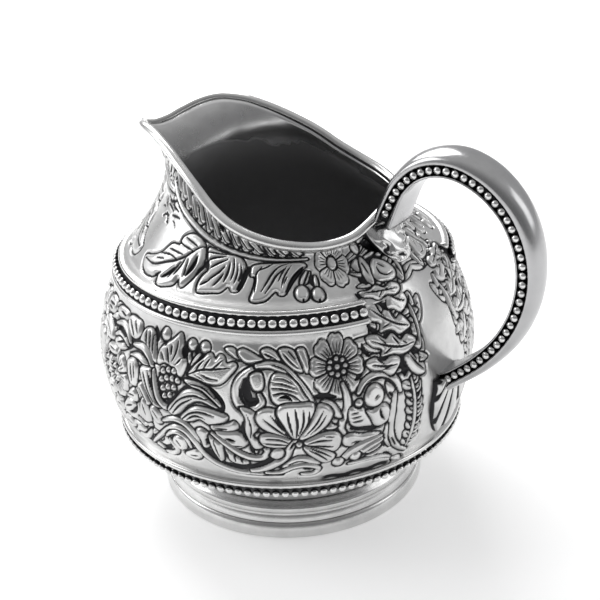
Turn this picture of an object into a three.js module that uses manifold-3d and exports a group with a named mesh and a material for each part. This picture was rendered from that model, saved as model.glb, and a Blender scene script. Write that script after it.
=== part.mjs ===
// Silver cream jug: a round chased body on a stepped foot, a pinched spout at -X and a loop handle at +X.
// Millimetres, +Z up. The origin is the bottom centre of the jug's bounding box.
// The X-Z plane is its mirror plane.
import * as THREE from "three";
import { mergeVertices } from "three/addons/utils/BufferGeometryUtils.js";
import Module from "manifold-3d";

const wasm = await Module();
wasm.setup();

// ---- driving dimensions ----
const JOINT_GAP = 0.3; // solder clearance between neighbouring pieces
const WALL = 1.3; // thickness of the body wall

// foot: a thick base wire under a short spool
const FOOT_RADIUS = 33.6;
const FOOT_WIRE_HEIGHT = 4.1;
const SPOOL_TOP = 9.9;
const SPOOL_RADIUS = 32.8;
const COVE_RADIUS = 31.4;
const FOOT_INNER_RADIUS = 28.6;

// body, from its floor to the shoulder circle where the neck begins
const BODY_FLOOR = 10.3;
const SHOULDER_HEIGHT = 62;
const SHOULDER_RADIUS = 39.3;
const SHOULDER_SLOPE = -0.6; // change of radius with height at the shoulder circle
const BELLY = [
  [33.2, 10.9],
  [37.4, 15],
  [41.4, 20],
  [44.4, 27],
  [45.9, 34],
  [46.4, 42],
  [44.9, 50],
  [42.6, 56],
];

// rim centre line: angle from the handle in degrees, radius, height
const RIM_RADIUS = 1.15;
const RIM = [
  [0, 28.2, 77.2],
  [9, 28.2, 75.8],
  [18, 28.1, 74.1],
  [31, 28, 73.4],
  [51, 28.6, 74.8],
  [65, 27.6, 76.3],
  [77, 26.3, 78],
  [90, 24.9, 80.6],
  [104, 24.1, 84.1],
  [120, 24.4, 87.3],
  [134, 26, 89.8],
  [146, 29, 91.5],
  [156, 32.6, 91.7],
  [163, 34.8, 90.6],
  [169, 36.8, 88.9],
  [174.5, 38.7, 87.3],
  [178, 40.8, 86.6],
  [180, 42.6, 86.7],
];

// beaded belts
const BEAD_RADIUS = 0.85;
const FILLET_RADIUS = 0.65;
const BELT_SPACING = 1.95; // from the bead row to the fillet beside it, along the wall
const BELT_END_ANGLE = 26.5; // the shoulder belt stops this many degrees either side of the handle
const BASE_BELT_HEIGHT = 20.6;

// handle: the line of its bead rows in the X-Z plane, from the rim to the belly
const HANDLE_LINE = [
  [30.9, 76.2],
  [32.2, 79.4],
  [35.6, 85.7],
  [40.8, 90.1],
  [47.6, 91.5],
  [54.6, 89.3],
  [60.5, 84.1],
  [63.9, 77.2],
  [64.9, 69.9],
  [63.7, 62.3],
  [60.4, 54.9],
  [54.9, 47.9],
  [48.4, 42.1],
  [42, 36.9],
];
const HANDLE_WIDTHS = [9.2, 9.2, 9.3, 9.4, 9.4, 9, 8.2, 7.4, 6.8, 6.6, 6.6, 6.8, 7, 7.2];
const HANDLE_CROWNS = [1.3, 1.5, 1.9, 2.3, 2.5, 2.5, 2.4, 2.2, 2, 1.9, 1.7, 1.5, 1.4, 1.3];
const BAND_HALF = 1.6; // half height of the band that carries the beads
const CHANNEL_HALF = 1.15;
const CHANNEL_DEPTH = 1.6;
// how far the beads stand out of their channel
const BEAD_STAND = 2 * BEAD_RADIUS + JOINT_GAP - CHANNEL_DEPTH;
const BEADS_FROM = 0.02; // share of the handle line where the bead wires start
const BEADS_TO = 0.955;

// fan shaped leaf under the handle's lower end
const LEAF_TOP = 41.5;
const LEAF_BOTTOM = 25;
const LEAF_HALF_WIDTH = 6.8;
const LEAF_TOP_THICKNESS = 5;
const LEAF_TIP_THICKNESS = 1.7;
const LEAF_WIDEST = 0.55; // share of the leaf's length at which it is widest
const LEAF_ROUNDING = 0.35; // share of the thickness lost towards each side

// socket that ties the handle's upper end to the neck
const SOCKET_HALF_WIDTH = 7.6;
const SOCKET_LOW = 66.5;
const SOCKET_HIGH = 75.2;
const SOCKET_THICKNESS = 2.6;
const SOCKET_STAND = 0.6; // how far its edges stand off the neck
const SOCKET_ROUNDING = 0.8; // share of the thickness lost towards each side
const NECK_TAPER = 0.8; // how much narrower the neck gets per millimetre of height behind the handle

const AROUND = 56;
const UP = new THREE.Vector3(0, 0, 1);

// ---- solids ----
function solidOf(geometry) {
  const bare = geometry.index ? geometry.clone() : geometry;
  bare.deleteAttribute("normal");
  bare.deleteAttribute("uv");
  const merged = mergeVertices(bare, 1e-4);
  return new wasm.Manifold(
    new wasm.Mesh({
      numProp: 3,
      vertProperties: new Float32Array(merged.attributes.position.array),
      triVerts: new Uint32Array(merged.index.array),
    }),
  );
}

function geometryOf(solid) {
  const mesh = solid.getMesh();
  const geometry = new THREE.BufferGeometry();
  geometry.setAttribute("position", new THREE.BufferAttribute(mesh.vertProperties, 3));
  geometry.setIndex(new THREE.BufferAttribute(mesh.triVerts, 1));
  geometry.computeVertexNormals();
  return geometry;
}

// A skin over rings of points. An open skin has flat ends, triangulated from the 2-D outlines given.
function skin(rings, { closed = false, outlines = null } = {}) {
  const count = rings[0].length;
  const points = rings.flat();
  const faces = [];
  const last = closed ? rings.length : rings.length - 1;
  for (let i = 0; i < last; i++) {
    const near = i * count;
    const far = ((i + 1) % rings.length) * count;
    for (let j = 0; j < count; j++) {
      const next = (j + 1) % count;
      faces.push([near + j, near + next, far + next], [near + j, far + next, far + j]);
    }
  }
  if (!closed) {
    const top = (rings.length - 1) * count;
    for (const [a, b, c] of THREE.ShapeUtils.triangulateShape(outlines[0], [])) {
      faces.push([c, b, a]);
    }
    for (const [a, b, c] of THREE.ShapeUtils.triangulateShape(outlines[1], [])) {
      faces.push([top + a, top + b, top + c]);
    }
  }
  const geometry = new THREE.BufferGeometry();
  const position = new Float32Array(points.flatMap((p) => [p.x, p.y, p.z]));
  geometry.setAttribute("position", new THREE.BufferAttribute(position, 3));
  geometry.setIndex(faces.flat());
  geometry.computeVertexNormals();
  return geometry;
}

const polar = (radius, angle, height) =>
  new THREE.Vector3(radius * Math.cos(angle), radius * Math.sin(angle), height);

// ---- the rim line, the same on both sides of the mirror plane ----
const rimHalf = RIM.map(([degrees, radius, height]) =>
  polar(radius, THREE.MathUtils.degToRad(degrees), height),
);
const rimMirror = rimHalf
  .slice(1, -1)
  .reverse()
  .map((p) => new THREE.Vector3(p.x, -p.y, p.z));
const rimLine = new THREE.CatmullRomCurve3([...rimHalf, ...rimMirror], true);

// ---- wall profile at one angle: the belly, then a neck that sweeps up to the rim ----
const bellyLine = new THREE.SplineCurve([
  ...BELLY.map(([radius, height]) => new THREE.Vector2(radius, height)),
  new THREE.Vector2(SHOULDER_RADIUS, SHOULDER_HEIGHT),
]);

// The neck leans outwards under the spout and stands nearly upright elsewhere.
function neckLine(rimPoint, grow) {
  const angle = Math.abs(Math.atan2(rimPoint.y, rimPoint.x));
  const spout = THREE.MathUtils.smoothstep(angle, 1.9, Math.PI);
  const lean = new THREE.Vector2(0.05 + 0.95 * spout, 1 - 0.35 * spout).normalize();
  const start = new THREE.Vector2(SHOULDER_RADIUS, SHOULDER_HEIGHT);
  const end = new THREE.Vector2(Math.hypot(rimPoint.x, rimPoint.y), rimPoint.z);
  end.addScaledVector(lean, grow - RIM_RADIUS - JOINT_GAP);
  end.add(new THREE.Vector2(lean.y, -lean.x).multiplyScalar(WALL / 2));
  const reach = start.distanceTo(end);
  const rise = new THREE.Vector2(SHOULDER_SLOPE, 1).normalize();
  return new THREE.CubicBezierCurve(
    start,
    start.clone().addScaledVector(rise, 0.4 * reach),
    end.clone().addScaledVector(lean, -(0.3 + 0.24 * spout) * reach),
    end,
  );
}

// Points of the outside wall from the foot to the rim, moved `out` from it. A clearance lengthens the neck.
function wallLine(rimPoint, out, clearance, bellySteps, neckSteps) {
  const neck = neckLine(rimPoint, clearance);
  const line = [];
  for (let i = 0; i < bellySteps; i++) {
    line.push([bellyLine.getPoint(i / bellySteps), bellyLine.getTangent(i / bellySteps)]);
  }
  for (let i = 0; i <= neckSteps; i++) {
    line.push([neck.getPoint(i / neckSteps), neck.getTangent(i / neckSteps)]);
  }
  return line.map(([p, t]) => new THREE.Vector2(p.x + t.y * out, p.y - t.x * out));
}

// The body: an outer and an inner wall that share one edge under the rim, with a flat floor.
function bodyGeometry(grow) {
  const columns = rimLine.getSpacedPoints(AROUND).slice(0, AROUND);
  const lines = columns.map((rimPoint) => {
    const outer = wallLine(rimPoint, grow, grow, 10, 7);
    const inner = wallLine(rimPoint, -WALL - grow, grow, 8, 5).filter((p) => p.y > BODY_FLOOR + WALL + 1);
    return [...outer, ...inner.reverse()];
  });
  const rows = Math.min(...lines.map((line) => line.length));
  const points = [];
  lines.forEach((line, i) => {
    const angle = Math.atan2(columns[i].y, columns[i].x);
    for (let j = 0; j < rows; j++) points.push(polar(line[j].x, angle, line[j].y));
  });
  const floor = points.length;
  points.push(new THREE.Vector3(0, 0, BODY_FLOOR), new THREE.Vector3(0, 0, BODY_FLOOR + WALL));
  const faces = [];
  for (let i = 0; i < AROUND; i++) {
    const here = i * rows;
    const next = ((i + 1) % AROUND) * rows;
    for (let j = 0; j < rows - 1; j++) {
      faces.push(here + j, next + j, next + j + 1, here + j, next + j + 1, here + j + 1);
    }
    faces.push(floor, next, here, floor + 1, here + rows - 1, next + rows - 1);
  }
  const geometry = new THREE.BufferGeometry();
  const position = new Float32Array(points.flatMap((p) => [p.x, p.y, p.z]));
  geometry.setAttribute("position", new THREE.BufferAttribute(position, 3));
  geometry.setIndex(faces);
  geometry.computeVertexNormals();
  return geometry;
}

// The body's outside as a filled lump, grown by the joint gap, to trim the pieces that meet it.
function bodyCutter() {
  const columns = rimLine.getSpacedPoints(AROUND).slice(0, AROUND);
  const lines = columns.map((rimPoint) => wallLine(rimPoint, JOINT_GAP, JOINT_GAP, 10, 7));
  const rings = lines[0].map((_, j) =>
    lines.map((line, i) => polar(line[j].x, Math.atan2(columns[i].y, columns[i].x), line[j].y)),
  );
  const flat = (ring) => ring.map((p) => new THREE.Vector2(p.x, p.y));
  const lump = solidOf(skin(rings, { outlines: [flat(rings[0]), flat(rings.at(-1))] }));
  return lump.add(solidOf(bodyGeometry(JOINT_GAP)));
}

// ---- wires ----
function rimGeometry(radius, steps, sides) {
  const rings = [];
  for (let i = 0; i < steps; i++) {
    const centre = rimLine.getPointAt(i / steps);
    const along = rimLine.getTangentAt(i / steps);
    const across = new THREE.Vector3().crossVectors(along, UP).normalize();
    const over = new THREE.Vector3().crossVectors(along, across);
    rings.push(
      Array.from({ length: sides }, (_, j) => {
        const turn = (2 * Math.PI * j) / sides;
        return centre
          .clone()
          .addScaledVector(across, radius * Math.cos(turn))
          .addScaledVector(over, radius * Math.sin(turn));
      }),
    );
  }
  return skin(rings, { closed: true });
}

class BeltArc extends THREE.Curve {
  constructor(radius, height, gapDegrees) {
    super();
    this.radius = radius;
    this.height = height;
    this.gap = THREE.MathUtils.degToRad(gapDegrees);
  }
  getPoint(t, target = new THREE.Vector3()) {
    return target.copy(polar(this.radius, this.gap + t * (2 * Math.PI - 2 * this.gap), this.height));
  }
}

function roundSection(radius, sides) {
  const section = new THREE.Shape();
  for (let i = 0; i < sides; i++) {
    const turn = (2 * Math.PI * i) / sides;
    section[i ? "lineTo" : "moveTo"](radius * Math.cos(turn), radius * Math.sin(turn));
  }
  section.closePath();
  return section;
}

function wireGeometry(path, radius, steps) {
  const options = { steps, bevelEnabled: false, extrudePath: path };
  return new THREE.ExtrudeGeometry(roundSection(radius, 5), options);
}

// A place on the outside wall, `along` millimetres above a given height and `out` from the wall.
function onWall(height, along, out) {
  const line = wallLine(rimLine.getPoint(0.25), 0, 0, 60, 60);
  let i = line.findIndex((p) => p.y >= height);
  const slope = line[i].clone().sub(line[i - 1]).normalize();
  const foot = line[i - 1].clone().addScaledVector(slope, (height - line[i - 1].y) / slope.y);
  return foot.addScaledVector(slope, along).add(new THREE.Vector2(slope.y, -slope.x).multiplyScalar(out));
}

function openBelt(along, radius) {
  const place = onWall(SHOULDER_HEIGHT - 0.5, along, radius + JOINT_GAP);
  return wireGeometry(new BeltArc(place.x, place.y, BELT_END_ANGLE), radius, 60);
}

function closedBelt(along, radius) {
  const place = onWall(BASE_BELT_HEIGHT, along, radius + JOINT_GAP);
  return new THREE.TorusGeometry(place.x, radius, 5, 64).translate(0, 0, place.y);
}

// ---- foot ----
function ringGeometry(profile) {
  const outline = profile.map(([radius, height]) => new THREE.Vector2(radius, height));
  return new THREE.LatheGeometry([...outline, outline[0]], AROUND).rotateX(Math.PI / 2);
}

const footWireProfile = [
  [FOOT_INNER_RADIUS, 0],
  [FOOT_RADIUS - 0.7, 0],
  [FOOT_RADIUS, 0.9],
  [FOOT_RADIUS, FOOT_WIRE_HEIGHT - 1.5],
  [FOOT_RADIUS - 0.8, FOOT_WIRE_HEIGHT - 0.4],
  [FOOT_RADIUS - 1.8, FOOT_WIRE_HEIGHT],
  [FOOT_INNER_RADIUS, FOOT_WIRE_HEIGHT],
];
const spoolProfile = [
  [FOOT_INNER_RADIUS, FOOT_WIRE_HEIGHT + JOINT_GAP],
  [COVE_RADIUS, FOOT_WIRE_HEIGHT + JOINT_GAP],
  [COVE_RADIUS, SPOOL_TOP - 4.3],
  [SPOOL_RADIUS - 0.7, SPOOL_TOP - 3.5],
  [SPOOL_RADIUS, SPOOL_TOP - 2.5],
  [SPOOL_RADIUS, SPOOL_TOP - 1.3],
  [SPOOL_RADIUS - 0.9, SPOOL_TOP - 0.4],
  [SPOOL_RADIUS - 1.6, SPOOL_TOP],
  [FOOT_INNER_RADIUS, SPOOL_TOP],
];

// ---- handle ----
const handleLine = new THREE.CatmullRomCurve3(HANDLE_LINE.map(([x, z]) => new THREE.Vector3(x, 0, z)));

// A value listed for each point of the handle line, at a share `t` of its length.
function alongHandle(values, t) {
  const place = handleLine.getUtoTmapping(t) * (values.length - 1);
  const i = Math.min(Math.floor(place), values.length - 2);
  return THREE.MathUtils.lerp(values[i], values[i + 1], place - i);
}

// Section across the handle as [outwards, sideways]: a crowned back, bead channels, a flat inside.
function handleSection(width, crown, grow) {
  const half = width / 2 + (grow && grow + BEAD_STAND);
  const back = [];
  for (let i = 0; i <= 6; i++) {
    const turn = (Math.PI * i) / 6;
    back.push([BAND_HALF + (crown + grow) * Math.sin(turn), half * Math.cos(turn)]);
  }
  const floor = half - (grow ? 0.05 : CHANNEL_DEPTH);
  const side = [
    [CHANNEL_HALF + 0.05, half],
    [CHANNEL_HALF, floor],
    [-CHANNEL_HALF, floor],
    [-CHANNEL_HALF - 0.05, half],
    [-BAND_HALF - grow, half - 0.3],
  ];
  const left = side.map(([out, sideways]) => [out, -sideways]);
  return [...back, ...left, ...side.reverse()];
}

function handleFrame(t) {
  const centre = handleLine.getPointAt(t);
  const along = handleLine.getTangentAt(t);
  const out = new THREE.Vector3(-along.z, 0, along.x);
  return { centre, out };
}

function handleGeometry(grow) {
  const steps = 34;
  const rings = [];
  const ends = [];
  for (let i = 0; i <= steps; i++) {
    const t = i / steps;
    const { centre, out } = handleFrame(t);
    const section = handleSection(alongHandle(HANDLE_WIDTHS, t), alongHandle(HANDLE_CROWNS, t), grow);
    rings.push(
      section.map(([outwards, sideways]) => {
        const point = centre.clone().addScaledVector(out, outwards);
        return point.setY(sideways);
      }),
    );
    if (i === 0 || i === steps) {
      ends.push(section.map(([outwards, sideways]) => new THREE.Vector2(outwards, -sideways)));
    }
  }
  return skin(rings, { outlines: ends });
}

function handleBeadWire(side) {
  const points = [];
  for (let i = 0; i <= 24; i++) {
    const t = THREE.MathUtils.lerp(BEADS_FROM, BEADS_TO, i / 24);
    const { centre } = handleFrame(t);
    const reach = alongHandle(HANDLE_WIDTHS, t) / 2 + BEAD_STAND - BEAD_RADIUS;
    points.push(new THREE.Vector3(centre.x, side * reach, centre.z));
  }
  return wireGeometry(new THREE.CatmullRomCurve3(points), BEAD_RADIUS, 34);
}

// Half the leaf's width at a share `t` of its length: broad shoulders above, a round tip below.
function leafHalf(t) {
  if (t < LEAF_WIDEST) return LEAF_HALF_WIDTH * (0.75 + 0.25 * Math.sin(((t / LEAF_WIDEST) * Math.PI) / 2));
  return LEAF_HALF_WIDTH * Math.sqrt(1 - ((t - LEAF_WIDEST) / (1.02 - LEAF_WIDEST)) ** 2);
}

// One ring of a pad that lies on the wall: a crowned outside and a plain back.
function padRing(radius, height, half, back, crown) {
  const steps = 8;
  const ring = [];
  for (let j = 0; j <= steps; j++) {
    const share = (2 * j) / steps - 1;
    ring.push(polar(radius + crown(share), (share * half) / radius, height));
  }
  for (const share of [1, 0, -1]) ring.push(polar(radius - back, (share * half) / radius, height));
  return ring;
}

// A pad over the given heights, from the lowest ring up.
function padGeometry(low, high, steps, ringAt) {
  const rings = [];
  for (let i = 0; i <= steps; i++) {
    rings.push(ringAt(THREE.MathUtils.lerp(low, high, i / steps), i / steps));
  }
  const flat = (ring) => ring.map((p) => new THREE.Vector2(p.x, p.y));
  return skin(rings, { outlines: [flat(rings[0]), flat(rings.at(-1))] });
}

// The leaf lies on the belly under the handle and thins towards its tip.
function leafGeometry() {
  return padGeometry(LEAF_BOTTOM, LEAF_TOP, 10, (height, rise) => {
    const fall = 1 - rise;
    const thick = THREE.MathUtils.lerp(LEAF_TOP_THICKNESS, LEAF_TIP_THICKNESS, Math.sqrt(fall));
    const crown = (share) => thick * (1 - LEAF_ROUNDING * share * share);
    return padRing(onWall(height, 0, 0).x, height, leafHalf(fall), 1, crown);
  });
}

// The socket is a saddle on the slope of the neck behind the handle's upper end.
function socketGeometry() {
  return padGeometry(SOCKET_LOW, SOCKET_HIGH, 6, (height, rise) => {
    const radius = SHOULDER_RADIUS - (height - SHOULDER_HEIGHT) * NECK_TAPER;
    const half = SOCKET_HALF_WIDTH * (0.45 + 0.55 * Math.sin((rise * Math.PI) / 2));
    const crown = (share) => SOCKET_STAND + SOCKET_THICKNESS * (1 - SOCKET_ROUNDING * share * share);
    return padRing(radius, height, half, 3, crown);
  });
}

// ---- assembly ----
const bright = { color: 0xc9c9cb, metalness: 1, roughness: 0.22 };
const antique = { color: 0x9c9c9e, metalness: 1, roughness: 0.35 };

const jug = new THREE.Group();
function add(name, geometry, look) {
  const mesh = new THREE.Mesh(geometry, new THREE.MeshStandardMaterial(look));
  mesh.name = name;
  jug.add(mesh);
}

const bodyTrim = bodyCutter();
const rimTrim = solidOf(rimGeometry(RIM_RADIUS + JOINT_GAP, 64, 6));
const handleTrim = solidOf(handleGeometry(JOINT_GAP));

// A piece cut back by the clearance shapes of its neighbours. Only its main body is kept, without slivers.
function trimmed(geometry, ...cutters) {
  const cut = cutters.reduce((solid, cutter) => solid.subtract(cutter), solidOf(geometry));
  const [main] = cut.decompose().sort((a, b) => b.volume() - a.volume());
  return geometryOf(main);
}

add("body_shell", trimmed(bodyGeometry(0), rimTrim), antique);
add("rim_wire", rimGeometry(RIM_RADIUS, 64, 6), bright);
add("shoulder_upper_fillet", openBelt(BELT_SPACING, FILLET_RADIUS), bright);
add("shoulder_bead_wire", openBelt(0, BEAD_RADIUS), antique);
add("shoulder_lower_fillet", openBelt(-BELT_SPACING, FILLET_RADIUS), bright);
add("base_fillet", closedBelt(BELT_SPACING, FILLET_RADIUS), bright);
add("base_bead_wire", closedBelt(0, BEAD_RADIUS), antique);
add("foot_spool", ringGeometry(spoolProfile), bright);
add("foot_base_wire", ringGeometry(footWireProfile), bright);
add("handle_bow", trimmed(handleGeometry(0), bodyTrim, rimTrim), bright);
add("handle_left_bead_wire", trimmed(handleBeadWire(1), bodyTrim), antique);
add("handle_right_bead_wire", trimmed(handleBeadWire(-1), bodyTrim), antique);
add("handle_leaf", trimmed(leafGeometry(), bodyTrim, handleTrim), antique);
add("handle_socket", trimmed(socketGeometry(), bodyTrim, rimTrim, handleTrim), bright);

// The jug is modelled about its body's axis; here its bounding box is centred over the origin.
const centre = new THREE.Box3().setFromObject(jug).getCenter(new THREE.Vector3());
jug.position.x = -centre.x;
const group = new THREE.Group();
group.add(jug);

export default group;
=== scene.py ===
import math
import re

import bpy
import numpy as np
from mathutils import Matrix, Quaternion, Vector


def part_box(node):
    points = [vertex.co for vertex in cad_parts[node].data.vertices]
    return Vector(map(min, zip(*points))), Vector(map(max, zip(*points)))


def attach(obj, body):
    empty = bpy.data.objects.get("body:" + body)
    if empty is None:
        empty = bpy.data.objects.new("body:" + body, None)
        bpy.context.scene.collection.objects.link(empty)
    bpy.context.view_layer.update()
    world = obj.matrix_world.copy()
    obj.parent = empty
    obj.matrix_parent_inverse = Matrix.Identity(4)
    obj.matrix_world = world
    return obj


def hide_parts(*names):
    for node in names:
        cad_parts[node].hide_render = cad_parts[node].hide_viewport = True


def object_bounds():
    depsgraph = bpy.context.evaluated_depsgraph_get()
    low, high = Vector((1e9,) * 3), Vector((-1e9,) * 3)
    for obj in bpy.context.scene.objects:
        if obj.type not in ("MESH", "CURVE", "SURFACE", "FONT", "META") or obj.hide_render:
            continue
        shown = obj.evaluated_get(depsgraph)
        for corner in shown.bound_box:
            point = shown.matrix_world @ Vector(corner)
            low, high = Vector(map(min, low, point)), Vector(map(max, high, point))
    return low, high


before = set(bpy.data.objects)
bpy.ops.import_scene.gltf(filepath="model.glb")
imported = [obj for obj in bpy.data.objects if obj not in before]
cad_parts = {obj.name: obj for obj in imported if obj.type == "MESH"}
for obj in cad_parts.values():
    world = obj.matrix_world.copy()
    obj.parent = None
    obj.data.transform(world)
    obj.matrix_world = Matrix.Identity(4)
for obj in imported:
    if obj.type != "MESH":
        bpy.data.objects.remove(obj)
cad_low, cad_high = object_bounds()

# Sizes are millimetres about the body's upright axis, with the handle towards +X.
MM = 0.001
foot_low, foot_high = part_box("foot_base_wire")
AXIS_X = (foot_low.x + foot_high.x) / 2
SEED = np.random.default_rng(7)

# ---- the wall of the body ----
BELLY_LINE = np.array([
    [33.2, 10.9], [37.4, 15], [41.4, 20], [44.4, 27], [45.9, 34],
    [46.4, 42], [44.9, 50], [42.6, 56], [39.3, 62],
])
RIM_LINE = np.array([
    [0, 28.2, 77.2], [9, 28.2, 75.8], [18, 28.1, 74.1], [31, 28, 73.4], [51, 28.6, 74.8],
    [65, 27.6, 76.3], [77, 26.3, 78], [90, 24.9, 80.6], [104, 24.1, 84.1], [120, 24.4, 87.3],
    [134, 26, 89.8], [146, 29, 91.5], [156, 32.6, 91.7], [163, 34.8, 90.6], [169, 36.8, 88.9],
    [174.5, 38.7, 87.3], [178, 40.8, 86.6], [180, 42.6, 86.7],
])
RIM_RADIUS = 1.15
WALL = 1.3
FLOOR_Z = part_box("body_shell")[0].z / MM
SHOULDER = BELLY_LINE[-1]
SHOULDER_SLOPE = -0.6
NECK_SPAN = 26.0  # the neck's nominal height on the drawn sheet, whatever its true length


def spline(x, knots, values, flat_start=False):
    """A smooth curve through values at the knots."""
    values = np.asarray(values, float)
    knots = np.asarray(knots, float)
    h = np.diff(knots)
    if values.ndim > 1:
        h = h[:, None]
    d = np.diff(values, axis=0) / h
    m = np.zeros_like(values)
    m[1:-1] = (h[1:] * d[:-1] + h[:-1] * d[1:]) / (h[1:] + h[:-1])
    m[0] = 0 if flat_start else d[0]
    m[-1] = d[-1]
    i = np.clip(np.searchsorted(knots, x, side="right") - 1, 0, len(knots) - 2)
    t = (x - knots[i]) / np.diff(knots)[i]
    step = h[i]
    if values.ndim > 1:
        t = t[..., None]
    return (
        (2 * t**3 - 3 * t**2 + 1) * values[i]
        + (t**3 - 2 * t**2 + t) * step * m[i]
        + (3 * t**2 - 2 * t**3) * values[i + 1]
        + (t**3 - t**2) * step * m[i + 1]
    )


def smoothstep(x, low, high):
    t = np.clip((x - low) / (high - low), 0, 1)
    return t * t * (3 - 2 * t)


_belly = spline(np.linspace(0, 8, 600), np.arange(9), BELLY_LINE)
_run = np.r_[0, np.cumsum(np.hypot(*np.diff(_belly, axis=0).T))]
BELLY_SPAN = _run[-1]


def from_handle(angle):
    """Degrees round from the handle, the same on both sides."""
    return np.abs((np.degrees(angle) + 180) % 360 - 180)


def rim_at(angle):
    """Radius and height of the rim wire's centre line."""
    place = spline(from_handle(angle), RIM_LINE[:, 0], RIM_LINE[:, 1:], flat_start=True)
    return place[..., 0], place[..., 1]


def neck_at(angle, v):
    """Radius and height on the neck, from the shoulder circle (v 0) to the edge under the rim wire (v 1)."""
    turn = np.abs((angle + np.pi) % (2 * np.pi) - np.pi)
    spout = smoothstep(turn, 1.9, np.pi)
    lean_r, lean_z = 0.05 + 0.95 * spout, 1 - 0.35 * spout
    size = np.hypot(lean_r, lean_z)
    lean_r, lean_z = lean_r / size, lean_z / size
    rim_r, rim_z = rim_at(angle)
    back = RIM_RADIUS * 0.5
    end_r = rim_r - lean_r * back + lean_z * WALL / 2
    end_z = rim_z - lean_z * back - lean_r * WALL / 2
    reach = np.hypot(end_r - SHOULDER[0], end_z - SHOULDER[1])
    rise = np.array([SHOULDER_SLOPE, 1]) / math.hypot(SHOULDER_SLOPE, 1)
    one_r, one_z = SHOULDER[0] + rise[0] * 0.4 * reach, SHOULDER[1] + rise[1] * 0.4 * reach
    pull = (0.3 + 0.24 * spout) * reach
    two_r, two_z = end_r - lean_r * pull, end_z - lean_z * pull
    a, b, c, d = (1 - v) ** 3, 3 * (1 - v) ** 2 * v, 3 * (1 - v) * v * v, v**3
    return (
        a * SHOULDER[0] + b * one_r + c * two_r + d * end_r,
        a * SHOULDER[1] + b * one_z + c * two_z + d * end_z,
    )


def wall_rz(angle, up):
    """Radius and height of the outside wall, `up` millimetres above the foot along the wall."""
    belly_up = np.clip(up, 0, BELLY_SPAN)
    r = np.interp(belly_up, _run, _belly[:, 0])
    z = np.interp(belly_up, _run, _belly[:, 1])
    neck_r, neck_z = neck_at(angle, np.clip((up - BELLY_SPAN) / NECK_SPAN, 0, 1))
    on_neck = up > BELLY_SPAN
    return np.where(on_neck, neck_r, r), np.where(on_neck, neck_z, z)


def wall_point(angle, up, out):
    """Points `out` millimetres off the outside wall."""
    angle, up, out = np.broadcast_arrays(*map(lambda q: np.asarray(q, float), (angle, up, out)))
    r, z = wall_rz(angle, up)
    low_r, low_z = wall_rz(angle, np.maximum(up - 0.3, 0))
    high_r, high_z = wall_rz(angle, np.minimum(up + 0.3, BELLY_SPAN + NECK_SPAN))
    run_r, run_z = high_r - low_r, high_z - low_z
    size = np.hypot(run_r, run_z)
    r = r + out * run_z / size
    z = z - out * run_r / size
    return np.stack([r * np.cos(angle), r * np.sin(angle), z], -1)


# ---- the chased relief, drawn on flat sheets: degrees from the handle by millimetres up the wall ----
STEP = 0.15  # one cell of a sheet
LIFT = 0.42  # a motif's height over the plain level
TRENCH = 0.5  # depth of the groove round a motif
TRENCH_MID, TRENCH_HALF = -0.2, 0.4  # where that groove lies outside the motif's edge
PEAK = 0.5  # the wall's outline in the CAD lies this far over the plain level
SOFT = 0.75  # how far inside its edge a motif reaches full height


def smooth_path(points, closed=False, spacing=0.5):
    """A curve through the points, as a polyline with even steps."""
    if closed:
        points = np.vstack([points[-2:], points, points[:3]])
    elif len(points) == 2:
        points = np.vstack([points[0], points.mean(0), points[1]])
    gaps = np.sqrt(np.hypot(*np.diff(points, axis=0).T)) + 1e-6
    knots = np.r_[0, np.cumsum(gaps)]
    low, high = (knots[2], knots[-3]) if closed else (0, knots[-1])
    fine = spline(np.linspace(low, high, 24 * len(points)), knots, points)
    run = np.r_[0, np.cumsum(np.hypot(*np.diff(fine, axis=0).T))]
    count = max(4, int(run[-1] / spacing))
    even = np.linspace(0, run[-1], count)
    return np.stack([np.interp(even, run, fine[:, 0]), np.interp(even, run, fine[:, 1])], 1)


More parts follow.
